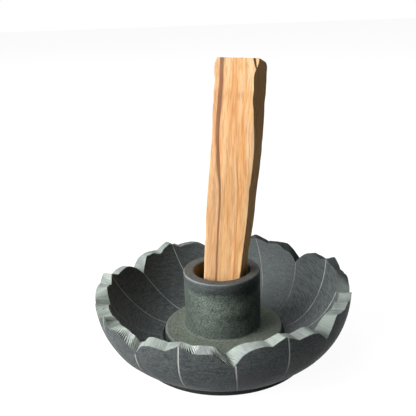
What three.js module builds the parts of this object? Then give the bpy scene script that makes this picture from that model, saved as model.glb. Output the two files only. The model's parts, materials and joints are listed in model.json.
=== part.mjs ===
// Lotus bowl for burning a stick of fragrant wood.
// A turned stone bowl on a short foot has its rim cut into eight petals. A flanged stone cup drops into a
// shallow round seat in the bowl's floor, and a split stick of palo santo leans in the cup's bore.
// Millimetres, +Z up. The origin is the centre of the foot's underside, and -Y faces the front.
// Azimuths are in degrees round the bowl's axis, from 0 at the front towards +X.

import * as THREE from 'three';

// Gap left where one piece stands on another
const REST_GAP = 0.3;

// Bowl: foot and outside
const FOOT_RADIUS = 33.5;
const FOOT_HEIGHT = 4;
const FOOT_CHAMFER = 0.6;
const HEEL_STEP = 4;
const BOWL_RADIUS = 50;
const BODY_SWELL = 2.3;

// Bowl: rim
const RIM_HEIGHT = 26.5;
const RIM_WALL = 4.5;
const HIGHEST_CUT = 5;
const SHOULDER_PLACE = 0.5;
const DIP_PLACE = 0.24;
const DIP_DEPTH = 0.4;
const NOTCH_CURVE = 1.6;
const POINT_CURVE = 0.8;
const INNER_LIFT = 0.4;
const CUT_SKEW = 2;

// Bowl: inside
const FLOOR_HEIGHT = 8;
const FLOOR_LAND = 0.8;
const SEAT_DEPTH = 1.5;
const SEAT_CLEARANCE = 0.8;

// The eight hand-cut petals, in order round the bowl. point is the azimuth of a petal's point and notch that
// of the notch after it. tip, shoulders and low are the heights of its point, of its two shoulders and of
// that notch, from the rim height. through is the share of the point that shows on the inner edge too, and
// fall is how far the notch falls from the inner edge to the outer one.
const PETALS = [
  { point: -17, tip: 1.9, shoulders: [0, 0.1], through: 0.3, notch: 4.2, low: -5.3, fall: 2.2 },
  { point: 25, tip: 3.1, shoulders: [1, 1.2], through: 0.2, notch: 47, low: -4.2, fall: 1.8 },
  { point: 66, tip: 3.4, shoulders: [1.9, 2], through: 0.3, notch: 85, low: -4.4, fall: 2.4 },
  { point: 110, tip: 5, shoulders: [2.4, 2.3], through: 0.9, notch: 134.5, low: -2.7, fall: 1 },
  { point: 161, tip: 4.6, shoulders: [2.5, 2.2], through: 0.8, notch: 184, low: -3.2, fall: 1 },
  { point: 209.5, tip: 3.8, shoulders: [1.6, 1.6], through: 1, notch: 231, low: -2.9, fall: 0.4 },
  { point: 256.5, tip: 2.8, shoulders: [0.5, 0.8], through: 1, notch: 277, low: -2, fall: -2 },
  { point: 300, tip: 1.9, shoulders: [-0.8, 0], through: 0.3, notch: 321, low: -5.9, fall: 1.6 },
];

// Cup
const BORE_RADIUS = 11;
const BORE_DEPTH = 19.8;
const CUP_WALL = 4;
const CUP_HEIGHT = 22.9;
const FLANGE_WIDTH = 8.4;
const FLANGE_THICKNESS = 4.2;
const FLANGE_RISE = 0.9;
const CUP_EDGE = 0.6;
const FLANGE_EDGE = 1.1;

// Stick
const STICK_LENGTH = 100;
const STICK_PLAY = 1;
const STICK_CLEARANCE = 0.3;
const STICK_EDGE = 0.5;
const LEAN_AZIMUTH = 107;
const HEEL_AZIMUTH = -46;

// Cross-sections of the split stick. at is a share of its length, and the corners are shares of its half
// diagonal, to the right and to the back. They run front left, front right, back right, back left.
const STICK_SECTIONS = [
  { at: 0, corners: [[-0.73, -0.47], [0.52, -0.49], [0.76, 0.42], [-0.55, 0.49]] },
  { at: 0.2, corners: [[-0.83, -0.52], [0.58, -0.53], [0.88, 0.47], [-0.62, 0.56]] },
  { at: 0.45, corners: [[-0.88, -0.5], [0.67, -0.5], [1.01, 0.46], [-0.66, 0.55]] },
  { at: 0.68, corners: [[-0.85, -0.45], [0.73, -0.54], [1.09, 0.46], [-0.6, 0.5]] },
  { at: 0.86, corners: [[-0.88, -0.42], [0.58, -0.56], [1.08, 0.44], [-0.58, 0.5]] },
  { at: 1, corners: [[-0.89, -0.39], [0.47, -0.58], [1.05, 0.4], [-0.52, 0.48]] },
];

// How far the slanting cut at the top takes each corner down
const STICK_TOP_CUT = [0.9, 0, 2.2, 2.4];

// How finely the curved surfaces are divided
const STEPS_PER_HALF_PETAL = 7;
const BODY_STEPS = 6;
const INSIDE_STEPS = 7;
const CUP_SEGMENTS = 56;
const ARC_STEPS = 3;
const STICK_STEPS = 12;

// Sizes that follow from the ones above
const HEEL_RADIUS = FOOT_RADIUS + HEEL_STEP;
const FULL_WIDTH_HEIGHT = RIM_HEIGHT + HIGHEST_CUT;
const INSIDE_RADIUS = BOWL_RADIUS - RIM_WALL;
const CUP_RADIUS = BORE_RADIUS + CUP_WALL;
const FLANGE_RADIUS = CUP_RADIUS + FLANGE_WIDTH;
const SEAT_RADIUS = FLANGE_RADIUS + SEAT_CLEARANCE;
const SEAT_HEIGHT = FLOOR_HEIGHT - SEAT_DEPTH;
const CUP_BASE = SEAT_HEIGHT + REST_GAP;
const FLANGE_TOP = CUP_BASE + FLANGE_THICKNESS;
const CUP_ROOT = FLANGE_TOP + FLANGE_RISE;
const CUP_MOUTH = CUP_ROOT + CUP_HEIGHT;
const BORE_FLOOR = CUP_MOUTH - BORE_DEPTH;
const STICK_HALF_DIAGONAL = BORE_RADIUS - STICK_PLAY;

const lerp = THREE.MathUtils.lerp;

// A point at a radius, azimuth and height
function around(radius, azimuth, height) {
  const angle = THREE.MathUtils.degToRad(azimuth);
  return new THREE.Vector3(radius * Math.sin(angle), -radius * Math.cos(angle), height);
}

// A closed skin through a stack of rings of equally many points, with a centre point closing each end
function loft(rings, firstCentre, lastCentre) {
  const count = rings[0].length;
  const points = [...rings.flat(), firstCentre, lastCentre];
  const first = points.length - 2;
  const last = points.length - 1;
  const top = (rings.length - 1) * count;
  const faces = [];
  for (let i = 0; i < count; i += 1) {
    const next = (i + 1) % count;
    faces.push(first, next, i);
    faces.push(last, top + i, top + next);
    for (let low = 0; low < top; low += count) {
      faces.push(low + i, low + next, low + count + next);
      faces.push(low + i, low + count + next, low + count + i);
    }
  }
  const geometry = new THREE.BufferGeometry().setFromPoints(points);
  geometry.setIndex(faces);
  geometry.computeVertexNormals();
  return geometry;
}

// Height of a petal's edge, where across runs from 0 at the petal's point to 1 in the notch beside it.
// The edge climbs out of the notch to a round shoulder, dips a little, and rises again to the point.
function edgeHeight(across, notch, shoulder, rise) {
  const climb = Math.min(1, (1 - across) / (1 - SHOULDER_PLACE));
  const dip = Math.min(1, Math.max(0, SHOULDER_PLACE - across) / (SHOULDER_PLACE - DIP_PLACE));
  const point = Math.max(0, 1 - across / DIP_PLACE);
  const body = lerp(notch, shoulder, 1 - (1 - climb) ** NOTCH_CURVE);
  return body - DIP_DEPTH * dip ** 2 + (rise + DIP_DEPTH) * point ** POINT_CURVE;
}

// Stations over one half of a petal, from its point to the notch beside it, each with its azimuth and the
// heights of the rim's outer and inner edges there
function halfPetal(petal, notchAzimuth, low, fall, shoulder) {
  const stations = [];
  for (let step = 0; step <= STEPS_PER_HALF_PETAL; step += 1) {
    const across = step / STEPS_PER_HALF_PETAL;
    const rise = petal.tip - shoulder;
    stations.push({
      azimuth: lerp(petal.point, notchAzimuth, across),
      outer: RIM_HEIGHT + edgeHeight(across, low, shoulder, rise),
      inner: RIM_HEIGHT + INNER_LIFT + edgeHeight(across, low + fall, shoulder, rise * petal.through),
    });
  }
  return stations;
}

// The rim's stations all round the bowl. Each notch is counted once, with the petal before it.
function rimStations() {
  return PETALS.flatMap((petal, index) => {
    const before = PETALS.at(index - 1);
    const start = index === 0 ? before.notch - 360 : before.notch;
    const near = halfPetal(petal, start, before.low, before.fall, petal.shoulders[0]);
    const far = halfPetal(petal, petal.notch, petal.low, petal.fall, petal.shoulders[1]);
    return [...near.slice(1, -1).reverse(), ...far];
  });
}

// The file is held a little askew as it cuts across the wall, most at the front and back of the bowl
function cutSkew(azimuth) {
  return -CUT_SKEW * Math.cos(THREE.MathUtils.degToRad(azimuth));
}

// Outside radius of the body at a height: it swells quickly off the heel and slowly near the rim
function outsideRadius(height) {
  const climb = Math.min(1, (height - FOOT_HEIGHT) / (FULL_WIDTH_HEIGHT - FOOT_HEIGHT));
  return lerp(HEEL_RADIUS, BOWL_RADIUS, 1 - (1 - climb) ** BODY_SWELL);
}

// Inside radius of the bowl at a height: a quarter ellipse from the floor's edge up to the rim
function insideRadius(height) {
  const climb = Math.min(1, (height - FLOOR_HEIGHT) / (FULL_WIDTH_HEIGHT - FLOOR_HEIGHT));
  return lerp(SEAT_RADIUS + FLOOR_LAND, INSIDE_RADIUS, Math.sqrt(1 - (1 - climb) ** 2));
}

// Share of the way up an inside wall for each step, closer together near the floor, where it curves most
function insideStep(step) {
  return 1 - Math.cos((step / INSIDE_STEPS) * (Math.PI / 2));
}

function bowlGeometry() {
  const stations = rimStations();
  const ring = (radius, height) => stations.map((s) => around(radius, s.azimuth, height));
  const rings = [
    ring(FOOT_RADIUS - FOOT_CHAMFER, 0),
    ring(FOOT_RADIUS, FOOT_CHAMFER),
    ring(FOOT_RADIUS, FOOT_HEIGHT),
  ];
  for (let step = 0; step <= BODY_STEPS; step += 1) {
    rings.push(stations.map((s) => {
      const height = lerp(FOOT_HEIGHT, s.outer, step / BODY_STEPS);
      return around(outsideRadius(height), s.azimuth, height);
    }));
  }
  for (let step = INSIDE_STEPS; step >= 0; step -= 1) {
    rings.push(stations.map((s) => {
      const height = lerp(FLOOR_HEIGHT, s.inner, insideStep(step));
      return around(insideRadius(height), s.azimuth + cutSkew(s.azimuth), height);
    }));
  }
  rings.push(ring(SEAT_RADIUS, FLOOR_HEIGHT));
  rings.push(ring(SEAT_RADIUS, SEAT_HEIGHT));
  return loft(rings, around(0, 0, 0), around(0, 0, SEAT_HEIGHT));
}

// The cup is one turning: its outline runs from the base's centre, round the flange, up the outside,
// over the mouth and down the bore
function cupGeometry() {
  const quarter = Math.PI / 2;
  const outline = new THREE.Path();
  outline.moveTo(0, CUP_BASE);
  outline.lineTo(FLANGE_RADIUS - CUP_EDGE, CUP_BASE);
  outline.absarc(FLANGE_RADIUS - CUP_EDGE, CUP_BASE + CUP_EDGE, CUP_EDGE, -quarter, 0);
  outline.absarc(FLANGE_RADIUS - FLANGE_EDGE, FLANGE_TOP - FLANGE_EDGE, FLANGE_EDGE, 0, quarter);
  outline.lineTo(CUP_RADIUS + CUP_EDGE, CUP_ROOT);
  outline.absarc(CUP_RADIUS + CUP_EDGE, CUP_ROOT + CUP_EDGE, CUP_EDGE, -quarter, -2 * quarter, true);
  outline.absarc(CUP_RADIUS - CUP_EDGE, CUP_MOUTH - CUP_EDGE, CUP_EDGE, 0, quarter);
  outline.absarc(BORE_RADIUS + CUP_EDGE, CUP_MOUTH - CUP_EDGE, CUP_EDGE, quarter, 2 * quarter);
  outline.lineTo(BORE_RADIUS, BORE_FLOOR);
  outline.lineTo(0, BORE_FLOOR);
  const turned = new THREE.LatheGeometry(outline.getPoints(ARC_STEPS), CUP_SEGMENTS);
  return turned.rotateX(quarter);
}

// The four corners of the stick at a share of its length, on a smooth line through the sections
function stickCorners(at) {
  const above = Math.max(1, STICK_SECTIONS.findIndex((section) => section.at >= at));
  const low = STICK_SECTIONS[above - 1];
  const high = STICK_SECTIONS[above];
  const blend = THREE.MathUtils.smoothstep(at, low.at, high.at);
  return low.corners.map((corner, index) => new THREE.Vector2(
    STICK_HALF_DIAGONAL * lerp(corner[0], high.corners[index][0], blend),
    STICK_HALF_DIAGONAL * lerp(corner[1], high.corners[index][1], blend),
  ));
}

// One ring of the stick, with each corner eased by two points set back along its sides
function stickRing(at) {
  const corners = stickCorners(at);
  return corners.flatMap((corner, index) => {
    const before = corners[(index + 3) % 4].clone().sub(corner).setLength(STICK_EDGE).add(corner);
    const after = corners[(index + 1) % 4].clone().sub(corner).setLength(STICK_EDGE).add(corner);
    const height = at * STICK_LENGTH - (at === 1 ? STICK_TOP_CUT[index] : 0);
    return [before, after].map((point) => new THREE.Vector3(point.x, point.y, height));
  });
}

function stickGeometry() {
  const rings = [];
  for (let step = 0; step <= STICK_STEPS; step += 1) {
    rings.push(stickRing(step / STICK_STEPS));
  }
  const top = STICK_LENGTH - Math.max(...STICK_TOP_CUT) / 2;
  return loft(rings, new THREE.Vector3(0, 0, 0), new THREE.Vector3(0, 0, top));
}

// The stick leans where the bore lets it: its back right corner against the mouth, and its front left
// corner against the wall at the bottom. These are the centres of the stick's section at both places.
function centreAgainstWall(azimuth, corner, height) {
  const wall = around(BORE_RADIUS - STICK_CLEARANCE, azimuth, height);
  return wall.sub(new THREE.Vector3(corner.x, corner.y, 0));
}

function placeStick(stick) {
  const frontLeft = stickCorners(0)[0];
  const backRight = stickCorners(BORE_DEPTH / STICK_LENGTH)[2];
  const foot = centreAgainstWall(HEEL_AZIMUTH, frontLeft, BORE_FLOOR);
  const mouth = centreAgainstWall(LEAN_AZIMUTH, backRight, CUP_MOUTH);
  const along = mouth.sub(foot).normalize();
  stick.quaternion.setFromUnitVectors(new THREE.Vector3(0, 0, 1), along);
  const lowest = Math.min(...stickRing(0).map((point) => point.applyQuaternion(stick.quaternion).z));
  stick.position.copy(foot).setZ(BORE_FLOOR + REST_GAP - lowest);
}

function pieceMesh(name, geometry, color, roughness) {
  const material = new THREE.MeshStandardMaterial({ color, roughness, metalness: 0 });
  const mesh = new THREE.Mesh(geometry, material);
  mesh.name = name;
  return mesh;
}

const bowl = pieceMesh('lotus_bowl', bowlGeometry(), 0x3c4246, 0.75);
const cup = pieceMesh('stick_cup', cupGeometry(), 0x474c44, 0.7);
const stick = pieceMesh('palo_santo_stick', stickGeometry(), 0xdfa673, 0.8);
placeStick(stick);

const holder = new THREE.Group();
holder.add(bowl, cup, stick);

export default holder;
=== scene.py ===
# %% [markdown]
# # A stone lotus bowl for burning palo santo
#
# The object is three loose pieces: a dark soapstone bowl whose rim is filed into eight petals, a turned
# stone cup with a wide flange that drops into a round seat in the bowl's floor, and a split stick of palo
# santo that leans in the cup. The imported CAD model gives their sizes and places. This script dresses each
# of them with a finer mesh and a procedural material, in the same frame and in metres.

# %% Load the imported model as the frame
import json
import math
from collections import namedtuple

import bpy
import numpy as np
from mathutils import Matrix, Vector


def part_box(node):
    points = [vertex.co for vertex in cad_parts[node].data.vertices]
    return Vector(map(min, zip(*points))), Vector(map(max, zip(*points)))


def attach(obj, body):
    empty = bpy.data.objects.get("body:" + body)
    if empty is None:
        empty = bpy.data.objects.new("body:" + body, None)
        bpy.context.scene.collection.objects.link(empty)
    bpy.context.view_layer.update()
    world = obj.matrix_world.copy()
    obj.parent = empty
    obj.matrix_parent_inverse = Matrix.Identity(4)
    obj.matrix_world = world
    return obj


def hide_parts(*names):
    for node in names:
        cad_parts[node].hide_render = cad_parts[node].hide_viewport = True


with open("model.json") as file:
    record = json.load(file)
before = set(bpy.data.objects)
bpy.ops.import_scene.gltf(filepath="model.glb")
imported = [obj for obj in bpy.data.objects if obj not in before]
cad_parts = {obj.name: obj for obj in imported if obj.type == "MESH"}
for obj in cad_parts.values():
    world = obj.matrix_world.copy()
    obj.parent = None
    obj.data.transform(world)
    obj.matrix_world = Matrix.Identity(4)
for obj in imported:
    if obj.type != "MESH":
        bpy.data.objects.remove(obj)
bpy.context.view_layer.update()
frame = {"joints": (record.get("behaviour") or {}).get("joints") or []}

# %% [markdown]
# ## Camera
#
# The photo was taken close up, from a little above the front. A pinhole camera fitted to the circles of the
# foot, the cup and the flange gives its place. The numbers are real sizes: how far in front of the bowl's
# axis the lens stood, how high, how far it looked down, and how it was turned and tilted. A camera's own
# axes are its right, its up and the way back from what it sees, so those three directions and its place are
# the columns of its matrix.

# %% Camera
CAMERA_DISTANCE = 0.2346
CAMERA_HEIGHT = 0.1367
LOOKING_DOWN = 0.316
TURNED_LEFT = 0.0191
TILTED_RIGHT = 0.036
PHOTO_WIDTH_PX = 416
FOCAL_LENGTH_PX = 650.8


def camera_matrix():
    """Place and axes of the camera, worked out from where it stood and how it was turned."""
    level = Matrix.Rotation(math.pi / 2 - LOOKING_DOWN, 4, "X")
    turned = Matrix.Rotation(TURNED_LEFT, 4, "Z")
    tilted = Matrix.Rotation(-TILTED_RIGHT, 4, "Z")
    place = Matrix.Translation((0, -CAMERA_DISTANCE, CAMERA_HEIGHT))
    return place @ turned @ level @ tilted


camera_data = bpy.data.cameras.new("camera")
camera_data.sensor_width = 36
camera_data.lens = FOCAL_LENGTH_PX / PHOTO_WIDTH_PX * camera_data.sensor_width
camera_data.clip_start = 0.01
camera = bpy.data.objects.new("camera", camera_data)
camera.matrix_world = camera_matrix()
bpy.context.scene.collection.objects.link(camera)
bpy.context.scene.camera = camera
print("lens in mm:", round(camera_data.lens, 1))

# %% [markdown]
# ## Building material nodes in few lines
#
# Every material below is a tree of shader nodes, and a few small helpers keep those trees readable. add_node
# adds a node and fills its sockets, each with a value or with another node's output. The others are the nodes
# that turn up most, such as arithmetic, mixing and noise, and each returns the socket that the next node
# reads.


# %% Node helpers
def add_node(tree, kind, sockets=None, **settings):
    """A new node. sockets maps an input's name or number to a value or to another node's output."""
    made = tree.nodes.new(kind)
    for name, value in settings.items():
        setattr(made, name, value)
    for name, value in (sockets or {}).items():
        if isinstance(value, bpy.types.NodeSocket):
            tree.links.new(value, made.inputs[name])
        else:
            made.inputs[name].default_value = value
    return made


def arithmetic(tree, operation, first, second=0.0, clamp=False):
    """The output of a Math node."""
    made = add_node(tree, "ShaderNodeMath", {0: first, 1: second}, operation=operation, use_clamp=clamp)
    return made.outputs[0]


def product(tree, *values):
    """The values multiplied together."""
    made = values[0]
    for value in values[1:]:
        made = arithmetic(tree, "MULTIPLY", made, value)
    return made


def mixed(tree, share, first, second):
    """The colour between first and second, or a flat colour where either is given as red, green, blue."""
    made = add_node(tree, "ShaderNodeMix", {"Factor": share}, data_type="RGBA")
    for number, colour in ((6, first), (7, second)):
        if isinstance(colour, bpy.types.NodeSocket):
            tree.links.new(colour, made.inputs[number])
        else:
            made.inputs[number].default_value = (*colour, 1)
    return made.outputs[2]


def painted(tree, colour, coats):
    """A colour with coats laid over it in turn, each given as its share and its own colour."""
    for share, coat in coats:
        colour = mixed(tree, share, colour, coat)
    return colour


def between(tree, share, first, second):
    """The number that lies this share of the way from first to second."""
    return add_node(tree, "ShaderNodeMix", {0: share, 2: first, 3: second}).outputs[0]


def stretched(tree, value, low, high, new_low=0.0, new_high=1.0):
    """The value's range from low to high laid smoothly onto new_low to new_high, and held at its ends."""
    sockets = {"Value": value, "From Min": low, "From Max": high, "To Min": new_low, "To Max": new_high}
    return add_node(tree, "ShaderNodeMapRange", sockets, interpolation_type="SMOOTHSTEP").outputs[0]


# %% Noise, places and materials
def noise(tree, place, scale, detail=3.0, roughness=0.55, distortion=0.0):
    """Cloudy noise between 0 and 1 at a place, with scale in clouds per metre."""
    sockets = {"Vector": place, "Scale": scale, "Detail": detail, "Roughness": roughness}
    sockets["Distortion"] = distortion
    return add_node(tree, "ShaderNodeTexNoise", sockets).outputs[0]


def scaled_place(tree, place, scales):
    """A place multiplied by its own scale in each direction."""
    made = add_node(tree, "ShaderNodeVectorMath", {0: place, 1: scales}, operation="MULTIPLY")
    return made.outputs[0]


def attribute(tree, name):
    """The Attribute node that reads what the mesh stores under this name."""
    return add_node(tree, "ShaderNodeAttribute", attribute_name=name)


def mask(tree, name):
    """A number that the mesh stores for each of its points."""
    return attribute(tree, name).outputs["Fac"]


def new_material(name):
    """A material with nothing but its shader, the tree they're in, and the shader."""
    material = bpy.data.materials.new(name)
    material.use_nodes = True
    shader = material.node_tree.nodes["Principled BSDF"]
    return material, material.node_tree, shader


# %% [markdown]
# ## Studio
#
# The photo is lit by one wide window on the left, rather low, and shows nothing but white behind the object.
# Faces turned to the right are nearly black there, so the lamps are a wide one on the left, a smaller one
# between it and the camera and a faint one above, and the world adds next to nothing. The white comes from
# the floor and the world only as the camera, a reflection or glass sees them, so it adds no light to the
# stone, and the floor still takes the object's shadow.

# %% Studio
LAMPS = {
    "window_lamp": {"place": (-0.96, -0.31, 0.68), "size": 0.8, "power": 19.5},
    "front_lamp": {"place": (-0.8, -0.78, 0.42), "size": 0.6, "power": 9.5},
    "top_lamp": {"place": (-0.2, 0.3, 1.1), "size": 0.8, "power": 4.0},
}
WORLD_LIGHT = 0.035
FLOOR_COLOUR = 0.16
FLOOR_GLOW = 0.95
FLOOR_DROP = 0.0002
LAMP_TARGET = Vector((0, 0, 0.03))


def seen_directly(tree):
    """1 for the camera and for reflections and glass, and 0 for the light that falls on things."""
    path = add_node(tree, "ShaderNodeLightPath")
    direct = arithmetic(tree, "MAXIMUM", path.outputs["Is Camera Ray"], path.outputs["Is Glossy Ray"])
    return arithmetic(tree, "MAXIMUM", direct, path.outputs["Is Transmission Ray"])


def add_lamp(name, place, size, power):
    data = bpy.data.lights.new(name, "AREA")
    data.shape = "SQUARE"
    data.size = size
    data.energy = power
    lamp = bpy.data.objects.new(name, data)
    lamp.location = place
    lamp.rotation_euler = (LAMP_TARGET - Vector(place)).to_track_quat("-Z", "Y").to_euler()
    bpy.context.scene.collection.objects.link(lamp)


def light_the_world():
    world = bpy.data.worlds.new("studio")
    world.use_nodes = True
    bpy.context.scene.world = world
    tree = world.node_tree
    background = tree.nodes["Background"]
    background.inputs["Color"].default_value = (1, 1, 1, 1)
    seen = seen_directly(tree)
    tree.links.new(stretched(tree, seen, 0, 1, WORLD_LIGHT, 1), background.inputs["Strength"])


def lay_floor():
    bpy.ops.mesh.primitive_plane_add(size=6, location=(0, 0, -FLOOR_DROP))
    floor = bpy.context.object
    floor.name = "floor"
    material, tree, shader = new_material("pale_floor")
    shader.inputs["Base Color"].default_value = (FLOOR_COLOUR, FLOOR_COLOUR, FLOOR_COLOUR, 1)
    shader.inputs["Roughness"].default_value = 1
    shader.inputs["Specular IOR Level"].default_value = 0
    shader.inputs["Emission Color"].default_value = (1, 1, 1, 1)
    glow = arithmetic(tree, "MULTIPLY", seen_directly(tree), FLOOR_GLOW)
    tree.links.new(glow, shader.inputs["Emission Strength"])
    floor.data.materials.append(material)


for lamp_name, lamp in LAMPS.items():
    add_lamp(lamp_name, **lamp)
light_the_world()
lay_floor()
bpy.context.scene.view_settings.view_transform = "Standard"
print("lamps:", len(LAMPS), "world light:", WORLD_LIGHT)

# %% [markdown]
# ## Meshes from rings of points
#
# The bowl, the cup and the stick are all closed skins over a stack of rings. Writing each one as a grid of
# points, with a row for each ring and a column for each place round it, lets numpy work out shapes and
# reliefs for the whole surface at once. The first and last rings close onto a middle point. What the material
# needs to know about a place, such as whether it is a raw cut or a polished face, is stored on the mesh as
# named attributes, which the shader reads back.

# %% Shapes and reliefs
MM = 0.001
# Brings the mean of the waves, which nearly cancel, to about -1 at its lowest and 1 at its highest
RIPPLE_GAIN = 2.2


def smoothstep(value, low, high):
    """0 below low, 1 above high, and a smooth climb between."""
    share = np.clip((value - low) / (high - low), 0, 1)
    return share * share * (3 - 2 * share)


def blend(low, high, share):
    return low + (high - low) * share


def ripples(points, wavelength, seed, waves=14):
    """Uneven waves, mostly between -1 and 1, at points in mm. Equal seeds give equal waves."""
    dice = np.random.default_rng(seed)
    directions = dice.normal(size=(waves, points.shape[-1]))
    directions /= np.linalg.norm(directions, axis=1, keepdims=True)
    lengths = wavelength * dice.uniform(0.6, 1.6, (waves, 1))
    phases = dice.uniform(0, 2 * math.pi, waves)
    turns = points @ (2 * math.pi * directions / lengths).T + phases
    return np.sin(turns).mean(axis=-1) * RIPPLE_GAIN


def facing(grid):
    """The direction each point of a grid of rings faces, out of the solid."""
    up = np.gradient(grid, axis=0)
    left = np.roll(grid, 1, axis=1)
    right = np.roll(grid, -1, axis=1)
    out = np.cross(right - left, up)
    return out / np.maximum(np.linalg.norm(out, axis=-1, keepdims=True), 1e-9)


def lengths_along(grid, axis):
    """How far each point lies from the first one, along the rows or round the ring."""
    steps = np.linalg.norm(np.diff(grid, axis=axis, prepend=np.take(grid, [0], axis=axis)), axis=-1)
    return np.cumsum(steps, axis=axis)


# %% Skins and attributes
SHARP_TURN = math.radians(32)


def make_skin(name, grid, values):
    """A closed mesh over a grid in mm. values maps attribute names to a number or a place for each point.

    Its shading is smooth, but for edges that turn by more than SHARP_TURN.
    """
    rows, columns = grid.shape[:2]
    caps = [grid[0].mean(axis=0), grid[-1].mean(axis=0)]
    points = np.vstack([grid.reshape(-1, 3), caps]) * MM
    column = np.arange(columns)
    following = (column + 1) % columns
    quads = []
    for row in range(rows - 1):
        low, high = row * columns, (row + 1) * columns
        quads.append(np.stack([low + column, low + following, high + following, high + column], axis=1))
    first, last = rows * columns, rows * columns + 1
    top = (rows - 1) * columns
    faces = np.vstack(quads).tolist()
    faces += [(first, int(b), int(a)) for a, b in zip(column, following)]
    faces += [(last, int(top + a), int(top + b)) for a, b in zip(column, following)]
    mesh = bpy.data.meshes.new(name)
    mesh.from_pydata(points.tolist(), [], faces)
    mesh.shade_smooth()
    mesh.set_sharp_from_angle(angle=SHARP_TURN)
    for label, value in values.items():
        store(mesh, label, value)
    piece = bpy.data.objects.new(name, mesh)
    bpy.context.scene.collection.objects.link(piece)
    print(f"{name}: {rows} rings of {columns} points, {len(faces)} faces")
    return piece


def store(mesh, label, value):
    """Keeps a number or a place for each point of the grid, and the end rings' own for the two middles."""
    rings = np.asarray(value, float)
    place = rings.ndim == 3
    ends = np.stack([rings[0].mean(axis=0), rings[-1].mean(axis=0)])
    flat = np.concatenate([rings.reshape(-1, *rings.shape[2:]), ends])
    made = mesh.attributes.new(label, "FLOAT_VECTOR" if place else "FLOAT", "POINT")
    made.data.foreach_set("vector" if place else "value", flat.astype(np.float32).ravel())


# %% [markdown]
# ## The bowl's rim
#
# Each petal rises steeply from a notch to a round shoulder, dips a little, and climbs to its point, and its
# other half mirrors that. The carver cut them by hand with a file, so no two are alike, and the file was held
# askew, so the edge inside the wall doesn't repeat the edge outside it. Each edge is a short list of eight
# petals: azimuths in degrees from the front towards the right, heights in mm above the foot. before and after
# are the shoulders' heights, low is that of the notch after the petal, and dip is how deep the edge sinks
# between shoulder and point. The touches are what the hand did besides: nicks, teeth, and places where the
# file took more or less.

# %% The two edges of the rim
Petal = namedtuple("Petal", "point tip before after notch low dip", defaults=[0.55])
Touch = namedtuple("Touch", "azimuth half_width rise")

OUTER_EDGE = [
    Petal(-17.5, 28.5, 26.3, 26.4, 3.7, 21),
    Petal(24, 29.6, 27.6, 27.4, 46.6, 21.2, 0.25),
    Petal(65.5, 29.4, 28.7, 28.5, 84.8, 22.1),
    Petal(109.5, 31.6, 28.7, 28.7, 134.7, 23.4),
    Petal(161, 31.1, 29.1, 28.7, 185.5, 23),
    Petal(210, 30.3, 28.2, 27.9, 232, 23),
    Petal(256.8, 29.4, 26.7, 27.6, 277.8, 25),
    Petal(300.5, 28.6, 25.8, 26.4, 321.2, 20.2),
]
INNER_EDGE = [
    Petal(-18, 27.7, 26.9, 27, -0.1, 23.2),
    Petal(23.4, 29.1, 27.6, 27.9, 44.8, 24.1, 0.3),
    Petal(64, 28.9, 28.3, 27.2, 87.2, 24.2),
    Petal(107.8, 31.4, 30.7, 30.2, 133, 23.9),
    Petal(159.5, 31, 29.6, 29, 184.2, 24.2),
    Petal(210.8, 30.7, 29, 28.5, 231.5, 21.9),
    Petal(259.6, 30.3, 28, 28, 275.5, 22.6),
    Petal(299.5, 26.4, 25.3, 25.5, 318.4, 21.8),
]
# Azimuth in degrees, half width in mm along the rim, and rise in mm, which is negative for a nick
OUTER_TOUCHES = [
    Touch(-12, 1.2, 0.3), Touch(-0.4, 2.5, -1.6), Touch(7, 1.2, 0.5), Touch(15.5, 1.8, 0.3),
    Touch(52.5, 1.6, 1), Touch(87.5, 1.6, 1), Touch(98, 1.3, -0.5), Touch(142.5, 1.5, 0.4),
    Touch(207, 1.1, -0.5), Touch(228, 1.5, 0.4), Touch(286, 1.4, -0.9), Touch(293, 0.8, -0.9),
    Touch(302.5, 0.7, 0.9), Touch(305.5, 1.3, -0.7), Touch(316.2, 2, -0.8), Touch(326, 1.4, 0.5),
]
INNER_TOUCHES = [
    Touch(-3.4, 1.5, 0.5), Touch(36, 2.4, 0.5), Touch(90, 1, -1), Touch(93, 1.5, 1), Touch(101, 2, 0.6),
    Touch(141, 2.6, -1.3), Touch(206, 1.5, -0.5), Touch(226.4, 1.2, 1.1), Touch(218, 1.9, -0.8),
    Touch(262, 1.5, -1.6), Touch(272, 1.9, 1.6), Touch(284, 0.5, -1.4), Touch(303.5, 1.2, 0.8),
    Touch(316.4, 1.1, 1), Touch(322, 1.6, -1.1),
]
print("highest petal:", max(petal.tip for petal in OUTER_EDGE), "mm")

# %% [markdown]
# ## The shape of a petal
#
# Half a petal's edge is the sum of three simple curves over the way from its point to its notch: the rise
# from the notch to the shoulder, the dip behind the shoulder, and the climb to the point. Two such halves,
# each with its own notch and shoulder, make a petal, so an edge needs only the few numbers listed above.

# %% Shape of a petal
# Share of the way from the point to the notch at which the shoulder and the dip lie
SHOULDER_PLACE = 0.56
DIP_PLACE = 0.26
# How sharply the edge bends towards the notch and towards the point
NOTCH_CURVE = 1.9
POINT_CURVE = 0.85


def turned_to(azimuth, reference):
    """An azimuth as degrees from a reference one, the shorter way round."""
    return (azimuth - reference + 180) % 360 - 180


def petal_height(across, low, shoulder, tip, sunk):
    """Height of half a petal's edge, where across runs from 0 at its point to 1 in the notch beside it."""
    climb = np.clip((1 - across) / (1 - SHOULDER_PLACE), 0, 1)
    dip = np.clip((SHOULDER_PLACE - across) / (SHOULDER_PLACE - DIP_PLACE), 0, 1)
    point = np.clip(1 - across / DIP_PLACE, 0, 1)
    body = blend(low, shoulder, 1 - (1 - climb) ** NOTCH_CURVE)
    return body - sunk * dip**2 + (tip - shoulder + sunk) * point**POINT_CURVE


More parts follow.
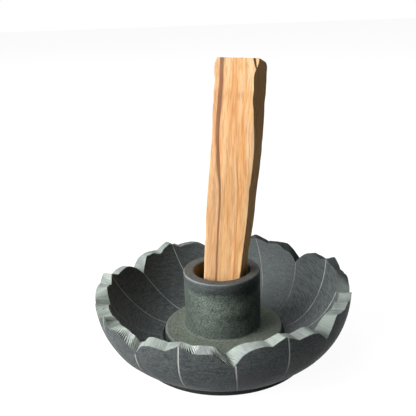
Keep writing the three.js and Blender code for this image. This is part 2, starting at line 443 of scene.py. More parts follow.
def edge_height(petals, azimuths):
    """Height of one edge of the rim at each azimuth."""
    heights = np.zeros_like(azimuths)
    for number, petal in enumerate(petals):
        previous = petals[number - 1]
        halves = ((previous.notch, previous.low, petal.before), (petal.notch, petal.low, petal.after))
        for notch, low, shoulder in halves:
            across = turned_to(azimuths, petal.point) / turned_to(notch, petal.point)
            here = (across >= 0) & (across <= 1)
            heights[here] = petal_height(across[here], low, shoulder, petal.tip, petal.dip)
    return heights


def round_the_bowl(radius, azimuth, height):
    """Points in mm at a radius, azimuth and height."""
    angle = np.radians(azimuth)
    return np.stack([radius * np.sin(angle), -radius * np.cos(angle), height + 0 * angle], axis=-1)


front_heights = [float(edge_height(petals, np.zeros(1))[0]) for petals in (OUTER_EDGE, INNER_EDGE)]
print("edges' heights at the front:", np.round(front_heights, 1).tolist(), "mm")

# %% [markdown]
# ## The bowl's engraved lines
#
# A pale line is scratched from every point and every notch, down the outside to the heel and down the inside
# to the seat. It starts at or near the point or the notch, and wanders a little on its way, so each line is
# given by how far it starts beside them, outside and inside, and by the azimuths it passes through at the
# heel, half way down the inside and at the seat. pale is how clean its inside part was scratched. The mesh's
# columns follow these lines, so that a groove less than a millimetre wide is real geometry without a fine
# mesh everywhere.

# %% Engraved lines
Line = namedtuple("Line", "beside beside_inside heel middle floor pale")

# In the order of the petals: the line from the point, then the line from the notch after it
LINES = [
    Line(0, 0, -20.2, -22, -26, 0.6), Line(0.3, 0, 5.9, -3, -7, 0.6),
    Line(1, 0, 28.8, 19, 14, 0.6), Line(0, 0, 55.5, 41.5, 37, 0.6),
    Line(0, 0, 73, 61, 56, 0.8), Line(0, 0, 91, 86.2, 79, 0.8),
    Line(0, 0.8, 114, 105.2, 94, 0.7), Line(0, 0, 137, 128, 121, 0.42),
    Line(0, 0, 160, 152.5, 144, 0.4), Line(0, 0, 182, 177, 169, 0.45),
    Line(0, -1.9, 205, 202.6, 195, 0.7), Line(0, 0, 228, 226, 223.6, 0.7),
    Line(0, 0, 250, 250.8, 252, 0.8), Line(0, 0, 270, 272, 276, 0.5),
    Line(0, 0, 294, 296, 292, 0.5), Line(0, 0, 318.5, 315, 311, 0.5),
]
LINE_HALF_WIDTH = 0.42
LINE_DEPTH = 0.28
INNER_LINE_HALF_WIDTH = 0.32
INNER_LINE_DEPTH = 0.14
print("engraved lines:", len(LINES))

# %% [markdown]
# ## The bowl's profile
#
# The bowl was turned before it was carved, so its outside and its inside are each a curve of radius over
# height. The inside is a quarter ellipse, and the body is a power curve that swells quickly off the heel and
# slowly near the rim. The body isn't quite round, though: low on its front left and front right it is a
# little fuller, and that is a second curve over the azimuth.

# %% Profile of the bowl
FOOT_RADIUS = 33.8
FOOT_HEIGHT = 4.0
HEEL_RADIUS = 37.3
HEEL_EDGE = 0.35
BOWL_RADIUS = 50.0
INSIDE_RADIUS = 45.5
FULL_WIDTH_HEIGHT = 31.5
BODY_SWELL = 2.55
FLOOR_HEIGHT = 8.0
FLOOR_RADIUS = 25.0
SEAT_RADIUS = 24.2
SEAT_HEIGHT = 6.5

# How much fuller than round the body is, a quarter of the way up: azimuth and mm
BODY_FULLNESS = [
    (-85, 0), (-65, 0.5), (-50, 0.9), (-38, 0.6), (-25, 0.15), (30, 0.15), (45, 0.5), (60, 0.5), (110, 0),
]
# Brings the curve of that fullness over the height to about 1 where it is highest
FULLNESS_SCALE = 9.5


def round_profile(pairs, azimuths):
    """A value that changes evenly round the bowl through (azimuth, value) pairs."""
    places, values = np.array(pairs, float).T
    return np.interp(azimuths, places, values, period=360)


def climb_from(low, height):
    """0 at the height called low and 1 where the bowl has its full width."""
    return np.clip((height - low) / (FULL_WIDTH_HEIGHT - low), 0, 1)


def outside_radius(height):
    return blend(HEEL_RADIUS, BOWL_RADIUS, 1 - (1 - climb_from(FOOT_HEIGHT, height)) ** BODY_SWELL)


def inside_radius(height):
    return blend(FLOOR_RADIUS, INSIDE_RADIUS, np.sqrt(1 - (1 - climb_from(FLOOR_HEIGHT, height)) ** 2))


def fuller_body(height, azimuths):
    """How far the body swells beyond its round profile."""
    climb = climb_from(FOOT_HEIGHT, height)
    return round_profile(BODY_FULLNESS, azimuths) * FULLNESS_SCALE * climb * (1 - climb) ** 3


print("wall's thickness 26 mm up:", round(float(outside_radius(26) - inside_radius(26)), 1), "mm")

# %% [markdown]
# ## The bowl's rows
#
# Going up the rows, the skin starts under the foot, turns out over the heel, climbs the body, crosses the
# filed face of the rim, and comes down the inside to the seat that the cup drops into. Rows crowd together at
# each edge, so that smooth shading rounds the edge over a tenth of a millimetre and no more. A row is known
# by the kind of face it lies on and by its share of the way over that face.

# %% Rows of the bowl
# Radius and height of the rows under and round the foot, and of those over the floor's land and the seat
FOOT_ROWS = [(share * FOOT_RADIUS, 0) for share in (0.25, 0.5, 0.75, 0.94, 0.99)]
FOOT_ROWS += [(FOOT_RADIUS, height) for height in (0.12, 0.6, 2, FOOT_HEIGHT - 0.3)]
FOOT_ROWS += [(FOOT_RADIUS + outwards, FOOT_HEIGHT) for outwards in (0.15, 0.6, 2)]
FOOT_ROWS += [(HEEL_RADIUS - 0.3, FOOT_HEIGHT), (HEEL_RADIUS - 0.06, FOOT_HEIGHT + 0.1)]
SEAT_ROWS = [(FLOOR_RADIUS - 0.3, FLOOR_HEIGHT), (SEAT_RADIUS + 0.2, FLOOR_HEIGHT - 0.1)]
SEAT_ROWS += [(SEAT_RADIUS, FLOOR_HEIGHT - depth) for depth in (0.3, 0.8, 1.3)]
SEAT_ROWS += [(SEAT_RADIUS - 0.2, SEAT_HEIGHT), (16, SEAT_HEIGHT), (8, SEAT_HEIGHT)]
FACE_SHARES = {
    "body": np.concatenate([np.linspace(0, 0.94, 22), [0.965, 0.982, 0.993, 1]]),
    "cut": np.concatenate([[0.03, 0.07], np.linspace(0.13, 0.87, 9), [0.93, 0.97]]),
    "wall": np.concatenate([[0, 0.006, 0.015, 0.03], np.linspace(0.055, 1, 28)]),
}


def bowl_places():
    """Kind and share of every row of the bowl."""
    faces = [(kind, share) for kind, shares in FACE_SHARES.items() for share in shares]
    return [("foot", 0)] * len(FOOT_ROWS) + faces + [("seat", 0)] * len(SEAT_ROWS)


BOWL_PLACES = bowl_places()
ROW_KINDS = np.array([kind for kind, _ in BOWL_PLACES])
HEEL_ROW = np.flatnonzero(ROW_KINDS == "body")[0]
OUTER_ROW = np.flatnonzero(ROW_KINDS == "body")[-1]
INNER_ROW = np.flatnonzero(ROW_KINDS == "wall")[0]
print("rows of the bowl:", len(BOWL_PLACES), "with its rim between rows", OUTER_ROW, "and", INNER_ROW)

# %% [markdown]
# ## The bowl's columns
#
# Four columns follow each engraved line: one at its left side, one in its middle and one half way to either
# side. The others share out the space from its right side to the next line, so all columns lean and wander as
# the lines do.

# %% Columns of the bowl
GROOVE_COLUMNS = (-1, -0.5, 0, 0.5)
COLUMNS_BETWEEN = 88
# The rim's middling heights outside and inside, near enough for working out how wide a groove is in degrees
OUTER_MIDDLING = 25
INNER_MIDDLING = 26


def line_starts(petals, beside):
    """Azimuths where the lines leave one edge of the rim."""
    return np.array([(petal.point, petal.notch) for petal in petals]).ravel() + beside


def line_azimuths():
    """Azimuth of every line in every row."""
    beside, beside_inside, heel, middle, floor, _ = np.array(LINES, float).T
    rim = line_starts(OUTER_EDGE, beside)
    inner = line_starts(INNER_EDGE, beside_inside)
    found = []
    for kind, share in BOWL_PLACES:
        if kind == "body":
            found.append(blend(heel, rim, share))
        elif kind == "cut":
            found.append(blend(rim, inner, share))
        elif kind == "wall":
            early = blend(inner, middle, share * 2)
            late = blend(middle, floor, share * 2 - 1)
            found.append(blend(early, late, share))
        else:
            found.append(heel if kind == "foot" else floor)
    return np.array(found)


def middling_radius(kind, share):
    """Radius of a row where the rim has its middling height."""
    if kind == "body":
        return outside_radius(blend(FOOT_HEIGHT, OUTER_MIDDLING, share))
    if kind == "cut":
        return blend(BOWL_RADIUS, INSIDE_RADIUS, share)
    if kind == "wall":
        return inside_radius(blend(INNER_MIDDLING, FLOOR_HEIGHT, math.sin(share * math.pi / 2)))
    return HEEL_RADIUS if kind == "foot" else FLOOR_RADIUS


def bowl_columns():
    """Azimuth of every column in every row."""
    inside = np.isin(ROW_KINDS, ["wall", "seat"])
    half_width = np.where(inside, INNER_LINE_HALF_WIDTH, LINE_HALF_WIDTH)
    radius = np.array([middling_radius(kind, share) for kind, share in BOWL_PLACES])
    groove = np.degrees(half_width / radius)[:, None]
    lines = line_azimuths()
    following = np.roll(lines, -1, axis=1)
    following[:, -1] += 360
    shares = np.arange(COLUMNS_BETWEEN) / COLUMNS_BETWEEN
    found = []
    for line in range(len(LINES)):
        here, there = lines[:, line : line + 1], following[:, line : line + 1]
        found.append(here + groove * np.array(GROOVE_COLUMNS))
        found.append(blend(here + groove, there - groove, shares))
    return np.concatenate(found, axis=1)


bowl_azimuths = bowl_columns()
print("columns of the bowl:", bowl_azimuths.shape[1])

# %% [markdown]
# ## The bowl's surface
#
# The heights of the two edges carry the whole rim: the body's rows climb to the outer edge, the cut's rows
# cross from it to the inner edge, and the wall's rows come down from there. The touches and a faint wobble
# are added to the edges first.

# %% Surface of the bowl
EDGE_WOBBLE = 0.1
EDGE_WAVELENGTH = 3.2


def rim_height(petals, touches, azimuths, radius, seed):
    """Height of one edge, with the touches and the wobble that handwork leaves."""
    heights = edge_height(petals, azimuths)
    for touch in touches:
        away = np.radians(turned_to(azimuths, touch.azimuth)) * radius / touch.half_width
        heights += touch.rise * np.exp(-(away**2))
    return heights + EDGE_WOBBLE * ripples(round_the_bowl(radius, azimuths, 0), EDGE_WAVELENGTH, seed)


def bowl_grid(azimuths):
    """The bowl's points in mm."""
    outer = rim_height(OUTER_EDGE, OUTER_TOUCHES, azimuths[OUTER_ROW], BOWL_RADIUS, seed=11)
    inner = rim_height(INNER_EDGE, INNER_TOUCHES, azimuths[INNER_ROW], INSIDE_RADIUS, seed=12)
    edge_radius = outside_radius(outer) + fuller_body(outer, azimuths[OUTER_ROW])
    radius, height = np.zeros_like(azimuths), np.zeros_like(azimuths)
    for row, (kind, share) in enumerate(BOWL_PLACES):
        if kind == "body":
            height[row] = blend(FOOT_HEIGHT + HEEL_EDGE, outer, share)
            radius[row] = outside_radius(height[row]) + fuller_body(height[row], azimuths[row])
        elif kind == "cut":
            height[row] = blend(outer, inner, share)
            radius[row] = blend(edge_radius, inside_radius(inner), share)
        elif kind == "wall":
            height[row] = blend(inner, FLOOR_HEIGHT, np.sin(share * math.pi / 2))
            radius[row] = inside_radius(height[row])
    for kind, rows in (("foot", FOOT_ROWS), ("seat", SEAT_ROWS)):
        here = ROW_KINDS == kind
        radius[here], height[here] = (np.array(rows, float)[:, side : side + 1] for side in (0, 1))
    return round_the_bowl(radius, azimuths, height)


bowl_points = bowl_grid(bowl_azimuths)
print("bowl grid:", bowl_points.shape[:2])

# %% [markdown]
# ## Measuring over the bowl
#
# The marks of the tools are laid out in mm over the surface: along the rim, and down over the rows from the
# foot's middle. across tells how far a place on the cut is from the outer edge, 0, to the inner edge, 1.

# %% Faces and distances of the bowl
Measures = namedtuple("Measures", "cut wall polished along down past_edge across")


def measure_bowl(points):
    """1 or 0 for the faces that each point lies on, and its distances in mm over the surface."""
    everywhere = np.ones(points.shape[:2])
    cut = (ROW_KINDS == "cut")[:, None] * everywhere
    wall = np.isin(ROW_KINDS, ["wall", "seat"])[:, None] * everywhere
    polished = np.isin(ROW_KINDS, ["body", "wall"])[:, None] * everywhere
    along = lengths_along(points[OUTER_ROW], axis=0) * everywhere
    down = lengths_along(points, axis=0)
    past_edge = down - down[OUTER_ROW]
    across = np.clip(past_edge / past_edge[INNER_ROW], 0, 1)
    return Measures(cut, wall, polished, along, down, past_edge, across)


over_bowl = measure_bowl(bowl_points)
print("round the rim:", round(over_bowl.along.max()), "mm")

# %% [markdown]
# ## The marks of the tools
#
# Reliefs are moved along the surface's own direction. The engraved lines are V grooves, deepest at the rim.
# The filed face carries faint ridges that run across the wall. Where the file chattered on a steep flank it
# left a flight of small steps, one every millimetre, with a wedge cut into each corner that is deep at the
# outer edge and runs out towards the inner one; the material paints shade into these wedges. The polished
# faces only swell by a few hundredths of a millimetre, which is enough to break up a machine-true highlight.

# %% Relief of the bowl
FILE_RIDGE = 1.3
FILE_DEPTH = 0.035
CHATTER_SPACING = 1.0
CHATTER_SLANT = 0.35
CHATTER_WANDER = 0.3
WANDERING_WAVELENGTH = 4
CHATTER_DEPTH = 0.17
WEDGE_HALF_WIDTH = 0.5
WEDGE_REACH = 0.85
BODY_SWELLING = 0.05
SWELLING_WAVELENGTH = 14
ACROSS_SQUEEZE = 0.12
# Over how many mm an engraved line fades and comes back, and below what height it fades towards the foot
FADING_WAVELENGTH = 9
FADING_BELOW = 22

# Stretches of the rim where the file chattered: azimuth of the middle, half width in degrees, strength
CHATTER = [(-46.5, 6, 0.8), (-1, 4.4, 1), (-13.8, 3, 1), (76, 3.5, 0.2), (286, 3, 0.3)]
Marks = namedtuple("Marks", "chatter phase groove")


def chatter_at(azimuths):
    """How strongly the file chattered at each azimuth."""
    strength = np.zeros_like(azimuths)
    for middle, half_width, most in CHATTER:
        away = turned_to(azimuths, middle) / half_width
        strength = np.maximum(strength, most * np.exp(-(away**4)))
    return strength


def flat_place(over):
    """Where each point lies on the cut laid flat, squeezed across the wall, so that ridges run across it."""
    return np.stack([over.along, ACROSS_SQUEEZE * over.past_edge], axis=-1)


def chatter_phase(over):
    """Counts the chatter's steps along the rim. They slant across it and wander a little."""
    wander = CHATTER_WANDER * ripples(flat_place(over), WANDERING_WAVELENGTH, seed=23)
    return (over.along + CHATTER_SLANT * over.past_edge + wander) / CHATTER_SPACING


def wedges(phase, across):
    """1 in the middle of each chatter wedge and 0 beside it."""
    from_middle = np.abs(phase % 1 - 0.5) * 2
    half_width = WEDGE_HALF_WIDTH * np.clip(1 - across / WEDGE_REACH, 0, 1)
    return np.clip(1 - from_middle / np.maximum(half_width, 0.02), 0, 1)


def engraved(points, polished):
    """1 in the middle of a deep clean groove and 0 beside it. Lines fade here and there, and to the foot."""
    one_line = np.concatenate([1 - np.abs(GROOVE_COLUMNS), np.zeros(COLUMNS_BETWEEN)])
    fading = np.clip(0.8 + 0.3 * ripples(points, FADING_WAVELENGTH, seed=21), 0.4, 1)
    taper = blend(0.4, 1, smoothstep(points[..., 2], 0, FADING_BELOW))
    return np.tile(one_line, len(LINES)) * polished * fading * taper


def bowl_marks(points, over, azimuths):
    """The strength and the count of the chatter, and the lines' grooves, at each point."""
    return Marks(chatter_at(azimuths) * over.cut, chatter_phase(over), engraved(points, over.polished))


def bowl_relief(points, over, marks):
    """How far each point is moved out, in mm."""
    ridges = FILE_DEPTH * ripples(flat_place(over), FILE_RIDGE, seed=22)
    relief = over.cut * ridges - CHATTER_DEPTH * marks.chatter * wedges(marks.phase, over.across)
    relief -= blend(LINE_DEPTH, INNER_LINE_DEPTH, over.wall) * marks.groove
    return relief + over.polished * BODY_SWELLING * ripples(points, SWELLING_WAVELENGTH, seed=24)


on_bowl = bowl_marks(bowl_points, over_bowl, bowl_azimuths)
moved_out = bowl_relief(bowl_points, over_bowl, on_bowl)
marked_bowl = bowl_points + facing(bowl_points) * moved_out[..., None]
print("deepest mark on the bowl:", round(-moved_out.min(), 2), "mm")

# %% [markdown]
# ## What the bowl's material reads
#
# raw says how pale and powdery the filed face is: the back right of the rim was waxed again. Inside, the wall
# was brushed round and round, most plainly on the right, and the wax lies most evenly at the back. The brush
# marks climb the wall from petal to petal, so the place that their noise reads drifts up it too.

# %% Attributes of the bowl
# How far the brush marks inside have drifted up the wall: azimuth and mm
BRUSH_DRIFT = [
    (0, 0), (70, 0), (98, 3), (132, 10), (150, 12), (175, 12), (212, 23), (240, 24), (300, 20), (360, 0),
]
# How plain the brush marks are inside: azimuth and share
BRUSHING = [(0, 0.45), (80, 0.45), (95, 0.6), (128, 0.6), (138, 0.3), (175, 0.3), (200, 0.45)]
BRUSHING_OUTSIDE = 0.3
# How evenly the wax lies over the grain inside: azimuth and share
WAXED_EVENLY = [(0, 0.1), (100, 0.1), (125, 0.3), (138, 0.55), (176, 0.55), (190, 0.3), (230, 0.1)]
# How raw the filed face is round the rim: azimuth and rawness
RAWNESS = [
    (-60, 1), (38, 1), (50, 0.7), (72, 0.58), (84, 0.5), (90, 0.32), (96, 0.22), (112, 0.2), (128, 0.12),
    (138, 0.02), (165, 0.04), (186, 0.2), (202, 0.5), (222, 0.85), (245, 1),
]
EDGE_WIDTH = 0.5
HEEL_WEAR = 0.6
# How far up the sides of its groove a scratch is pale: at 1 its colour would fade from the middle
PALE_SPREAD = 1.7


def bowl_attributes(over, marks, azimuths):
    """What the bowl's material reads at each point."""
    line_paleness = np.repeat([line.pale for line in LINES], len(GROOVE_COLUMNS) + COLUMNS_BETWEEN)
    drift = np.interp(azimuths % 360, *np.array(BRUSH_DRIFT, float).T)
    up_the_wall = over.down[-1] - over.down - drift
    rim_gap = np.minimum(np.abs(over.past_edge), np.abs(over.past_edge - over.past_edge[INNER_ROW]))
    heel_gap = np.abs(over.down - over.down[HEEL_ROW])
    worn_heel = HEEL_WEAR * np.exp(-heel_gap / EDGE_WIDTH)
    tool_place = np.stack([over.along, blend(over.down, up_the_wall, over.wall), 0 * over.down], axis=-1)
    return {
        "cut": over.cut,
        "line": np.clip(marks.groove * PALE_SPREAD, 0, 1) * blend(1, line_paleness, over.wall),
        "raw": round_profile(RAWNESS, azimuths),
        "chatter": marks.chatter,
        "chatter_phase": marks.phase,
        "across": over.across,
        "brushing": blend(BRUSHING_OUTSIDE, round_profile(BRUSHING, azimuths), over.wall),
        "evenness": round_profile(WAXED_EVENLY, azimuths) * over.wall,
        "edge": np.maximum(np.exp(-rim_gap / EDGE_WIDTH), worn_heel),
        "tool_place": tool_place * MM,
    }


bowl = make_skin("carved_bowl", marked_bowl, bowl_attributes(over_bowl, on_bowl, bowl_azimuths))

# %% [markdown]
# ## The cup
#
# The cup was turned on a lathe, so one outline swept round the axis is its whole shape: under the base, round
# the flange, up the wall, over the mouth and down the bore. Small arcs ease every edge. Its height and its
# flange's radius come from the CAD node that it stands for.

# %% Outline of the cup
cup_low, cup_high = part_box("stick_cup")
CUP_BASE = cup_low.z / MM
CUP_MOUTH = cup_high.z / MM
FLANGE_RADIUS = cup_high.x / MM
CUP_RADIUS = 15.0
BORE_RADIUS = 11.0
BORE_FLOOR = 15.0
FLANGE_TOP = 11.0
CUP_ROOT = 11.9
CUP_EDGE = 0.6
ROOT_FILLET = 0.35
FLANGE_EDGE = 1.1
QUARTER = math.pi / 2


def arc(middle, radius, start, end, steps=6):
    """Points of an arc in the outline, as radius and height."""
    angles = np.linspace(start, end, steps + 1)
    return [(middle[0] + radius * math.cos(a), middle[1] + radius * math.sin(a)) for a in angles]


def straight(start, end, steps):
    """Points along a straight stretch, without its ends."""
    shares = np.arange(1, steps)[:, None] / steps
    return [tuple(point) for point in blend(np.array(start), np.array(end), shares)]


def cup_outline():
    base = arc((FLANGE_RADIUS - CUP_EDGE, CUP_BASE + CUP_EDGE), CUP_EDGE, -QUARTER, 0)
    rim = arc((FLANGE_RADIUS - FLANGE_EDGE, FLANGE_TOP - FLANGE_EDGE), FLANGE_EDGE, 0, QUARTER)
    root = arc((CUP_RADIUS + ROOT_FILLET, CUP_ROOT + ROOT_FILLET), ROOT_FILLET, -QUARTER, -2 * QUARTER)
    lip = arc((CUP_RADIUS - CUP_EDGE, CUP_MOUTH - CUP_EDGE), CUP_EDGE, 0, QUARTER)
    mouth = arc((BORE_RADIUS + CUP_EDGE, CUP_MOUTH - CUP_EDGE), CUP_EDGE, QUARTER, 2 * QUARTER)
    well = arc((BORE_RADIUS - CUP_EDGE, BORE_FLOOR + CUP_EDGE), CUP_EDGE, 0, -QUARTER, 4)
    outline = [(6, CUP_BASE), (14, CUP_BASE), (20, CUP_BASE)] + base
    outline += straight(base[-1], rim[0], 4) + rim + straight(rim[-1], root[0], 18) + root
    outline += straight(root[-1], lip[0], 26) + lip + straight(lip[-1], mouth[0], 6) + mouth
    outline += straight(mouth[-1], well[0], 14) + well + [(6, BORE_FLOOR), (3, BORE_FLOOR)]
    return np.array(outline)


outline = cup_outline()
print("cup from", round(CUP_BASE, 1), "to", round(CUP_MOUTH, 1), "mm up, outline of", len(outline), "points")

# %% [markdown]
# ## Marks on the cup
#
# The lathe left fine rings, a scribed line runs round the front of the cup's root, and the flange's rim is
# chipped where it was knocked. Soft patches of painted shade darken the wall, and a painted highlight runs
# along the lip on the front left. Each of these is a mask from 0 to 1: some move the surface, and all but the
# rings colour it.

# %% Masks of the cup
SCRIBE_RADIUS = 15.5
SCRIBE_HALF_WIDTH = 0.2
SCRIBE_MIDDLE = -35
SCRIBE_REACH = 62
# Where round the cup the painted highlight along the lip lies, how far round it reaches, and how wide it is
LIP_HIGHLIGHT_MIDDLE = -45
LIP_HIGHLIGHT_REACH = 70
LIP_HIGHLIGHT_WIDTH = 0.28
WORN_WIDTH = 0.7
# Where the flange's rim is chipped: azimuth, and half width in mm
FLANGE_CHIPS = [(-96, 0.5), (-90, 0.9), (-82, 0.7), (-77, 0.4), (38, 0.6), (44, 0.9), (150, 0.8), (205, 1.1)]

# Patches of painted shade on the wall, which are also a little glossier: azimuth, height, and reach round and
# up in mm
ShadePatch = namedtuple("ShadePatch", "azimuth height round up strength")
SHADE_PATCHES = [
    ShadePatch(42, 30.5, 12, 3.4, 1), ShadePatch(-6, 31, 7, 1.3, 0.75), ShadePatch(28, 20, 8, 1.8, 0.75),
    ShadePatch(82, 23, 9, 12, 0.9), ShadePatch(-92, 23, 8, 14, 0.6), ShadePatch(-45, 30.6, 8, 0.9, 0.5),
    ShadePatch(-62, 22, 9, 12, 0.45), ShadePatch(130, 26, 12, 4, 0.7), ShadePatch(-130, 22, 10, 3, 0.5),
]


def stretch_round(azimuth, middle, reach):
    """1 over a stretch of the circle and 0 beyond it."""
    return np.exp(-((turned_to(azimuth, middle) / reach) ** 4))


def shade_patches_at(azimuth, height):
    """How much painted shade each place on the cup's wall gets from the patches."""
    found = np.zeros(np.broadcast(azimuth, height).shape)
    for patch in SHADE_PATCHES:
        away_round = np.radians(turned_to(azimuth, patch.azimuth)) * CUP_RADIUS / patch.round
        away_up = (height - patch.height) / patch.up
        found = np.maximum(found, patch.strength * np.exp(-(away_round**2) - away_up**2))
    return found


def chipped_at(azimuth):
    """1 in the middle of each chip on the flange's rim and 0 away from them."""
    away = [np.radians(turned_to(azimuth, middle)) * FLANGE_RADIUS / half for middle, half in FLANGE_CHIPS]
    return np.exp(-(np.array(away) ** 2)).max(axis=0)


def cup_masks(points, radius, height, azimuth):
    """What the cup's material reads at each point."""
    flat = (height > FLANGE_TOP - 0.4) & (height < CUP_ROOT + 0.05) & (radius > CUP_RADIUS)
    scribe = np.exp(-(((radius - SCRIBE_RADIUS) / SCRIBE_HALF_WIDTH) ** 2)) * flat
    scribe = scribe * stretch_round(azimuth, SCRIBE_MIDDLE, SCRIBE_REACH)
    edge_gap = np.hypot(radius - FLANGE_RADIUS + 0.3, height - FLANGE_TOP + 0.3) / WORN_WIDTH
    flange_edge = np.exp(-(edge_gap**2))
    lip_gap = np.hypot(radius - CUP_RADIUS + 0.15, height - CUP_MOUTH + 0.3) / LIP_HIGHLIGHT_WIDTH
    highlight_round = stretch_round(azimuth, LIP_HIGHLIGHT_MIDDLE, LIP_HIGHLIGHT_REACH) * (0.75 + 0.25 * ripples(points, 6, seed=35))
    in_bore = radius < BORE_RADIUS + 0.15
    return {
        "scribe": scribe,
        "chips": flange_edge * chipped_at(azimuth) * smoothstep(ripples(points, 1.2, seed=33), -0.6, 0.6),
        "bore": in_bore * smoothstep(height, BORE_FLOOR - 1, BORE_FLOOR + 1),
        "mouth": smoothstep(height, CUP_MOUTH - 0.35, CUP_MOUTH - 0.1) * (radius < CUP_RADIUS - 0.4),
        "flange": flat * smoothstep(radius, CUP_RADIUS + 0.3, CUP_RADIUS + 0.6),
        "edge": flange_edge,
        # A painted highlight along the lip's outer edge on the front left
        "lip": np.exp(-(lip_gap**2)) * highlight_round,
        # Painted shade of the soft patches on the outside of the wall
        "patch_shade": shade_patches_at(azimuth, height) * (radius > CUP_RADIUS - 0.3),
        "outside": ~in_bore & (height > FLANGE_TOP - 3),
    }


print("chips:", len(FLANGE_CHIPS), "darkened patches:", len(SHADE_PATCHES))

# %% Skin of the cup
CUP_COLUMNS = 360
RING_DEPTH = 0.03
RING_WAVELENGTH = 1.1
UNEVEN_WAVELENGTH = 9
SCRIBE_DEPTH = 0.1
CHIP_DEPTH = 0.45


def make_cup():
    azimuth = np.linspace(0, 360, CUP_COLUMNS, endpoint=False)
    radius = outline[:, :1] + 0 * azimuth
    height = outline[:, 1:] + 0 * azimuth
    points = round_the_bowl(radius, azimuth, height)
    values = cup_masks(points, radius, height, azimuth)
    along = lengths_along(outline[:, None], axis=0)[..., None]
    rings = RING_DEPTH * ripples(along, RING_WAVELENGTH, seed=31)
    rings = rings + RING_DEPTH * ripples(points, UNEVEN_WAVELENGTH, seed=32)
    relief = rings * values.pop("outside") - SCRIBE_DEPTH * values["scribe"] - CHIP_DEPTH * values["chips"]
    values["scribe"] = values["scribe"] * (0.7 + 0.3 * ripples(points, 7, seed=34))
    values["height_up"] = height * MM
    return make_skin("turned_cup", points + facing(points) * relief[..., None], values)


cup = make_cup()

# %% [markdown]
# ## The stick
#
# Palo santo is split along its grain and sawn to length, so the stick is a crooked four-sided bar: its
# corners wander, its sides are a little hollow or full, and its sharp corners have lost splinters. The
# section is given at a few heights and everything between follows smoothly. Corners are in shares of half the
# section's diagonal, to the right and to the back of the stick's own axis, which leans as the CAD joint says.

# %% Corners of the stick
STICK_LENGTH = 100.0
HALF_DIAGONAL = 10.0
FRONT_LEFT, FRONT_RIGHT, BACK_RIGHT, BACK_LEFT = range(4)

# Share of the length, then right and back of the corners: front left, front right, back right, back left
STICK_SECTIONS = [
    (0, [(-0.73, -0.47), (0.52, -0.49), (0.76, 0.42), (-0.55, 0.49)]),
    (0.2, [(-0.83, -0.52), (0.58, -0.53), (0.88, 0.47), (-0.62, 0.56)]),
    (0.45, [(-0.88, -0.5), (0.67, -0.5), (1.01, 0.46), (-0.66, 0.55)]),
    (0.68, [(-0.85, -0.45), (0.73, -0.54), (1.09, 0.46), (-0.6, 0.5)]),
    (0.86, [(-0.88, -0.42), (0.58, -0.56), (1.08, 0.44), (-0.58, 0.5)]),
    (0.93, [(-0.885, -0.4), (0.53, -0.57), (1.06, 0.42), (-0.55, 0.49)]),
    (1, [(-0.89, -0.39), (0.7, -0.53), (1.05, 0.4), (-0.52, 0.48)]),
]
# How far below the stick's full length the slanting saw cut is at each corner
TOP_CUT = [0.9, 0, 2.2, 2.4]


def stick_corners(share):
    """The four corners in mm at a share of the length."""
    places = [section[0] for section in STICK_SECTIONS]
    above = int(np.clip(np.searchsorted(places, share), 1, len(places) - 1))
    (low, low_corners), (high, high_corners) = STICK_SECTIONS[above - 1 : above + 1]
    eased = smoothstep(share, low, high)
    return HALF_DIAGONAL * blend(np.array(low_corners), np.array(high_corners), eased)


def top_height(ring):
    """Height of the saw cut over each point of the top ring: the plane that suits the corners best."""
    plane = np.column_stack([stick_corners(1), np.ones(4)])
    slope = np.linalg.lstsq(plane, np.array(TOP_CUT), rcond=None)[0]
    return STICK_LENGTH - (ring @ slope[:2] + slope[2])


print("stick's widest half section:", round(abs(stick_corners(0.68)).max(), 1), "mm")

# %% [markdown]
# ## Rings of the stick
#
# A ring goes round the four corners. Each corner is cut back a little along its two sides and rounded with a
# short curve. How far back changes up the stick: splinters are missing at random places, and the saw cut has
# rounded the top of the back right corner and, less, of the front left one.

# %% Rings of the stick
CORNER_EASE = 0.22
CORNER_WANDER = (0.16, 0.3, 0.16, 0.16)
WANDER_WAVELENGTH = 9
# Far enough for each corner to miss its splinters in places of its own
CORNERS_APART = 40.0
# How far out from the middle of the sawn ends their rings lie, at the foot and at the top
FOOT_SHARES = (0.3, 0.65, 0.9, 0.98)
TOP_SHARES = (0.985, 0.93, 0.8, 0.6, 0.3)
# The rounding below the saw cut: over how far, how much is gone, and the front left corner's share of that
ROUNDED_LENGTH = 2.5
ROUNDED_CORNER = 2.2
LESS_ROUNDED = 0.4
RINGS_ALONG = 230
POINTS_ON_SIDE = 22
POINTS_ON_CORNER = 3


def worn_corners(share):
    """The corners in mm, drawn in where splinters are missing."""
    places = np.array([[share * STICK_LENGTH, CORNERS_APART * corner] for corner in range(4)])
    missing = np.minimum(ripples(places, WANDER_WAVELENGTH, seed=41), 0)
    return stick_corners(share) * (1 + np.array(CORNER_WANDER) * missing / HALF_DIAGONAL * 2)[:, None]


def corner_eases(share):
    """How far each corner is cut back along its sides."""
    eases = np.full(4, CORNER_EASE)
    near_top = np.clip(1 - (1 - share) * STICK_LENGTH / ROUNDED_LENGTH, 0, 1)
    eases[BACK_RIGHT] += ROUNDED_CORNER * near_top**2
    eases[FRONT_LEFT] += LESS_ROUNDED * ROUNDED_CORNER * near_top**2
    return eases


def towards(start, end, distance):
    """The point at this distance from start on the way to end."""
    return start + (end - start) / np.linalg.norm(end - start) * distance


def stick_ring(share):
    """One ring in mm, with a column for each point of the sides and of the eased corners."""
    corners, eases = worn_corners(share), corner_eases(share)
    ring = []
    for number, corner in enumerate(corners):
        before, after = corners[number - 1], corners[(number + 1) % 4]
        start, end = towards(corner, before, eases[number]), towards(corner, after, eases[number])
        next_start = towards(after, corner, eases[(number + 1) % 4])
        for step in range(POINTS_ON_CORNER):
            turn = step / POINTS_ON_CORNER
            ring.append((1 - turn) ** 2 * start + 2 * turn * (1 - turn) * corner + turn**2 * end)
        for step in range(POINTS_ON_SIDE):
            ring.append(blend(end, next_start, step / POINTS_ON_SIDE))
    return np.array(ring)


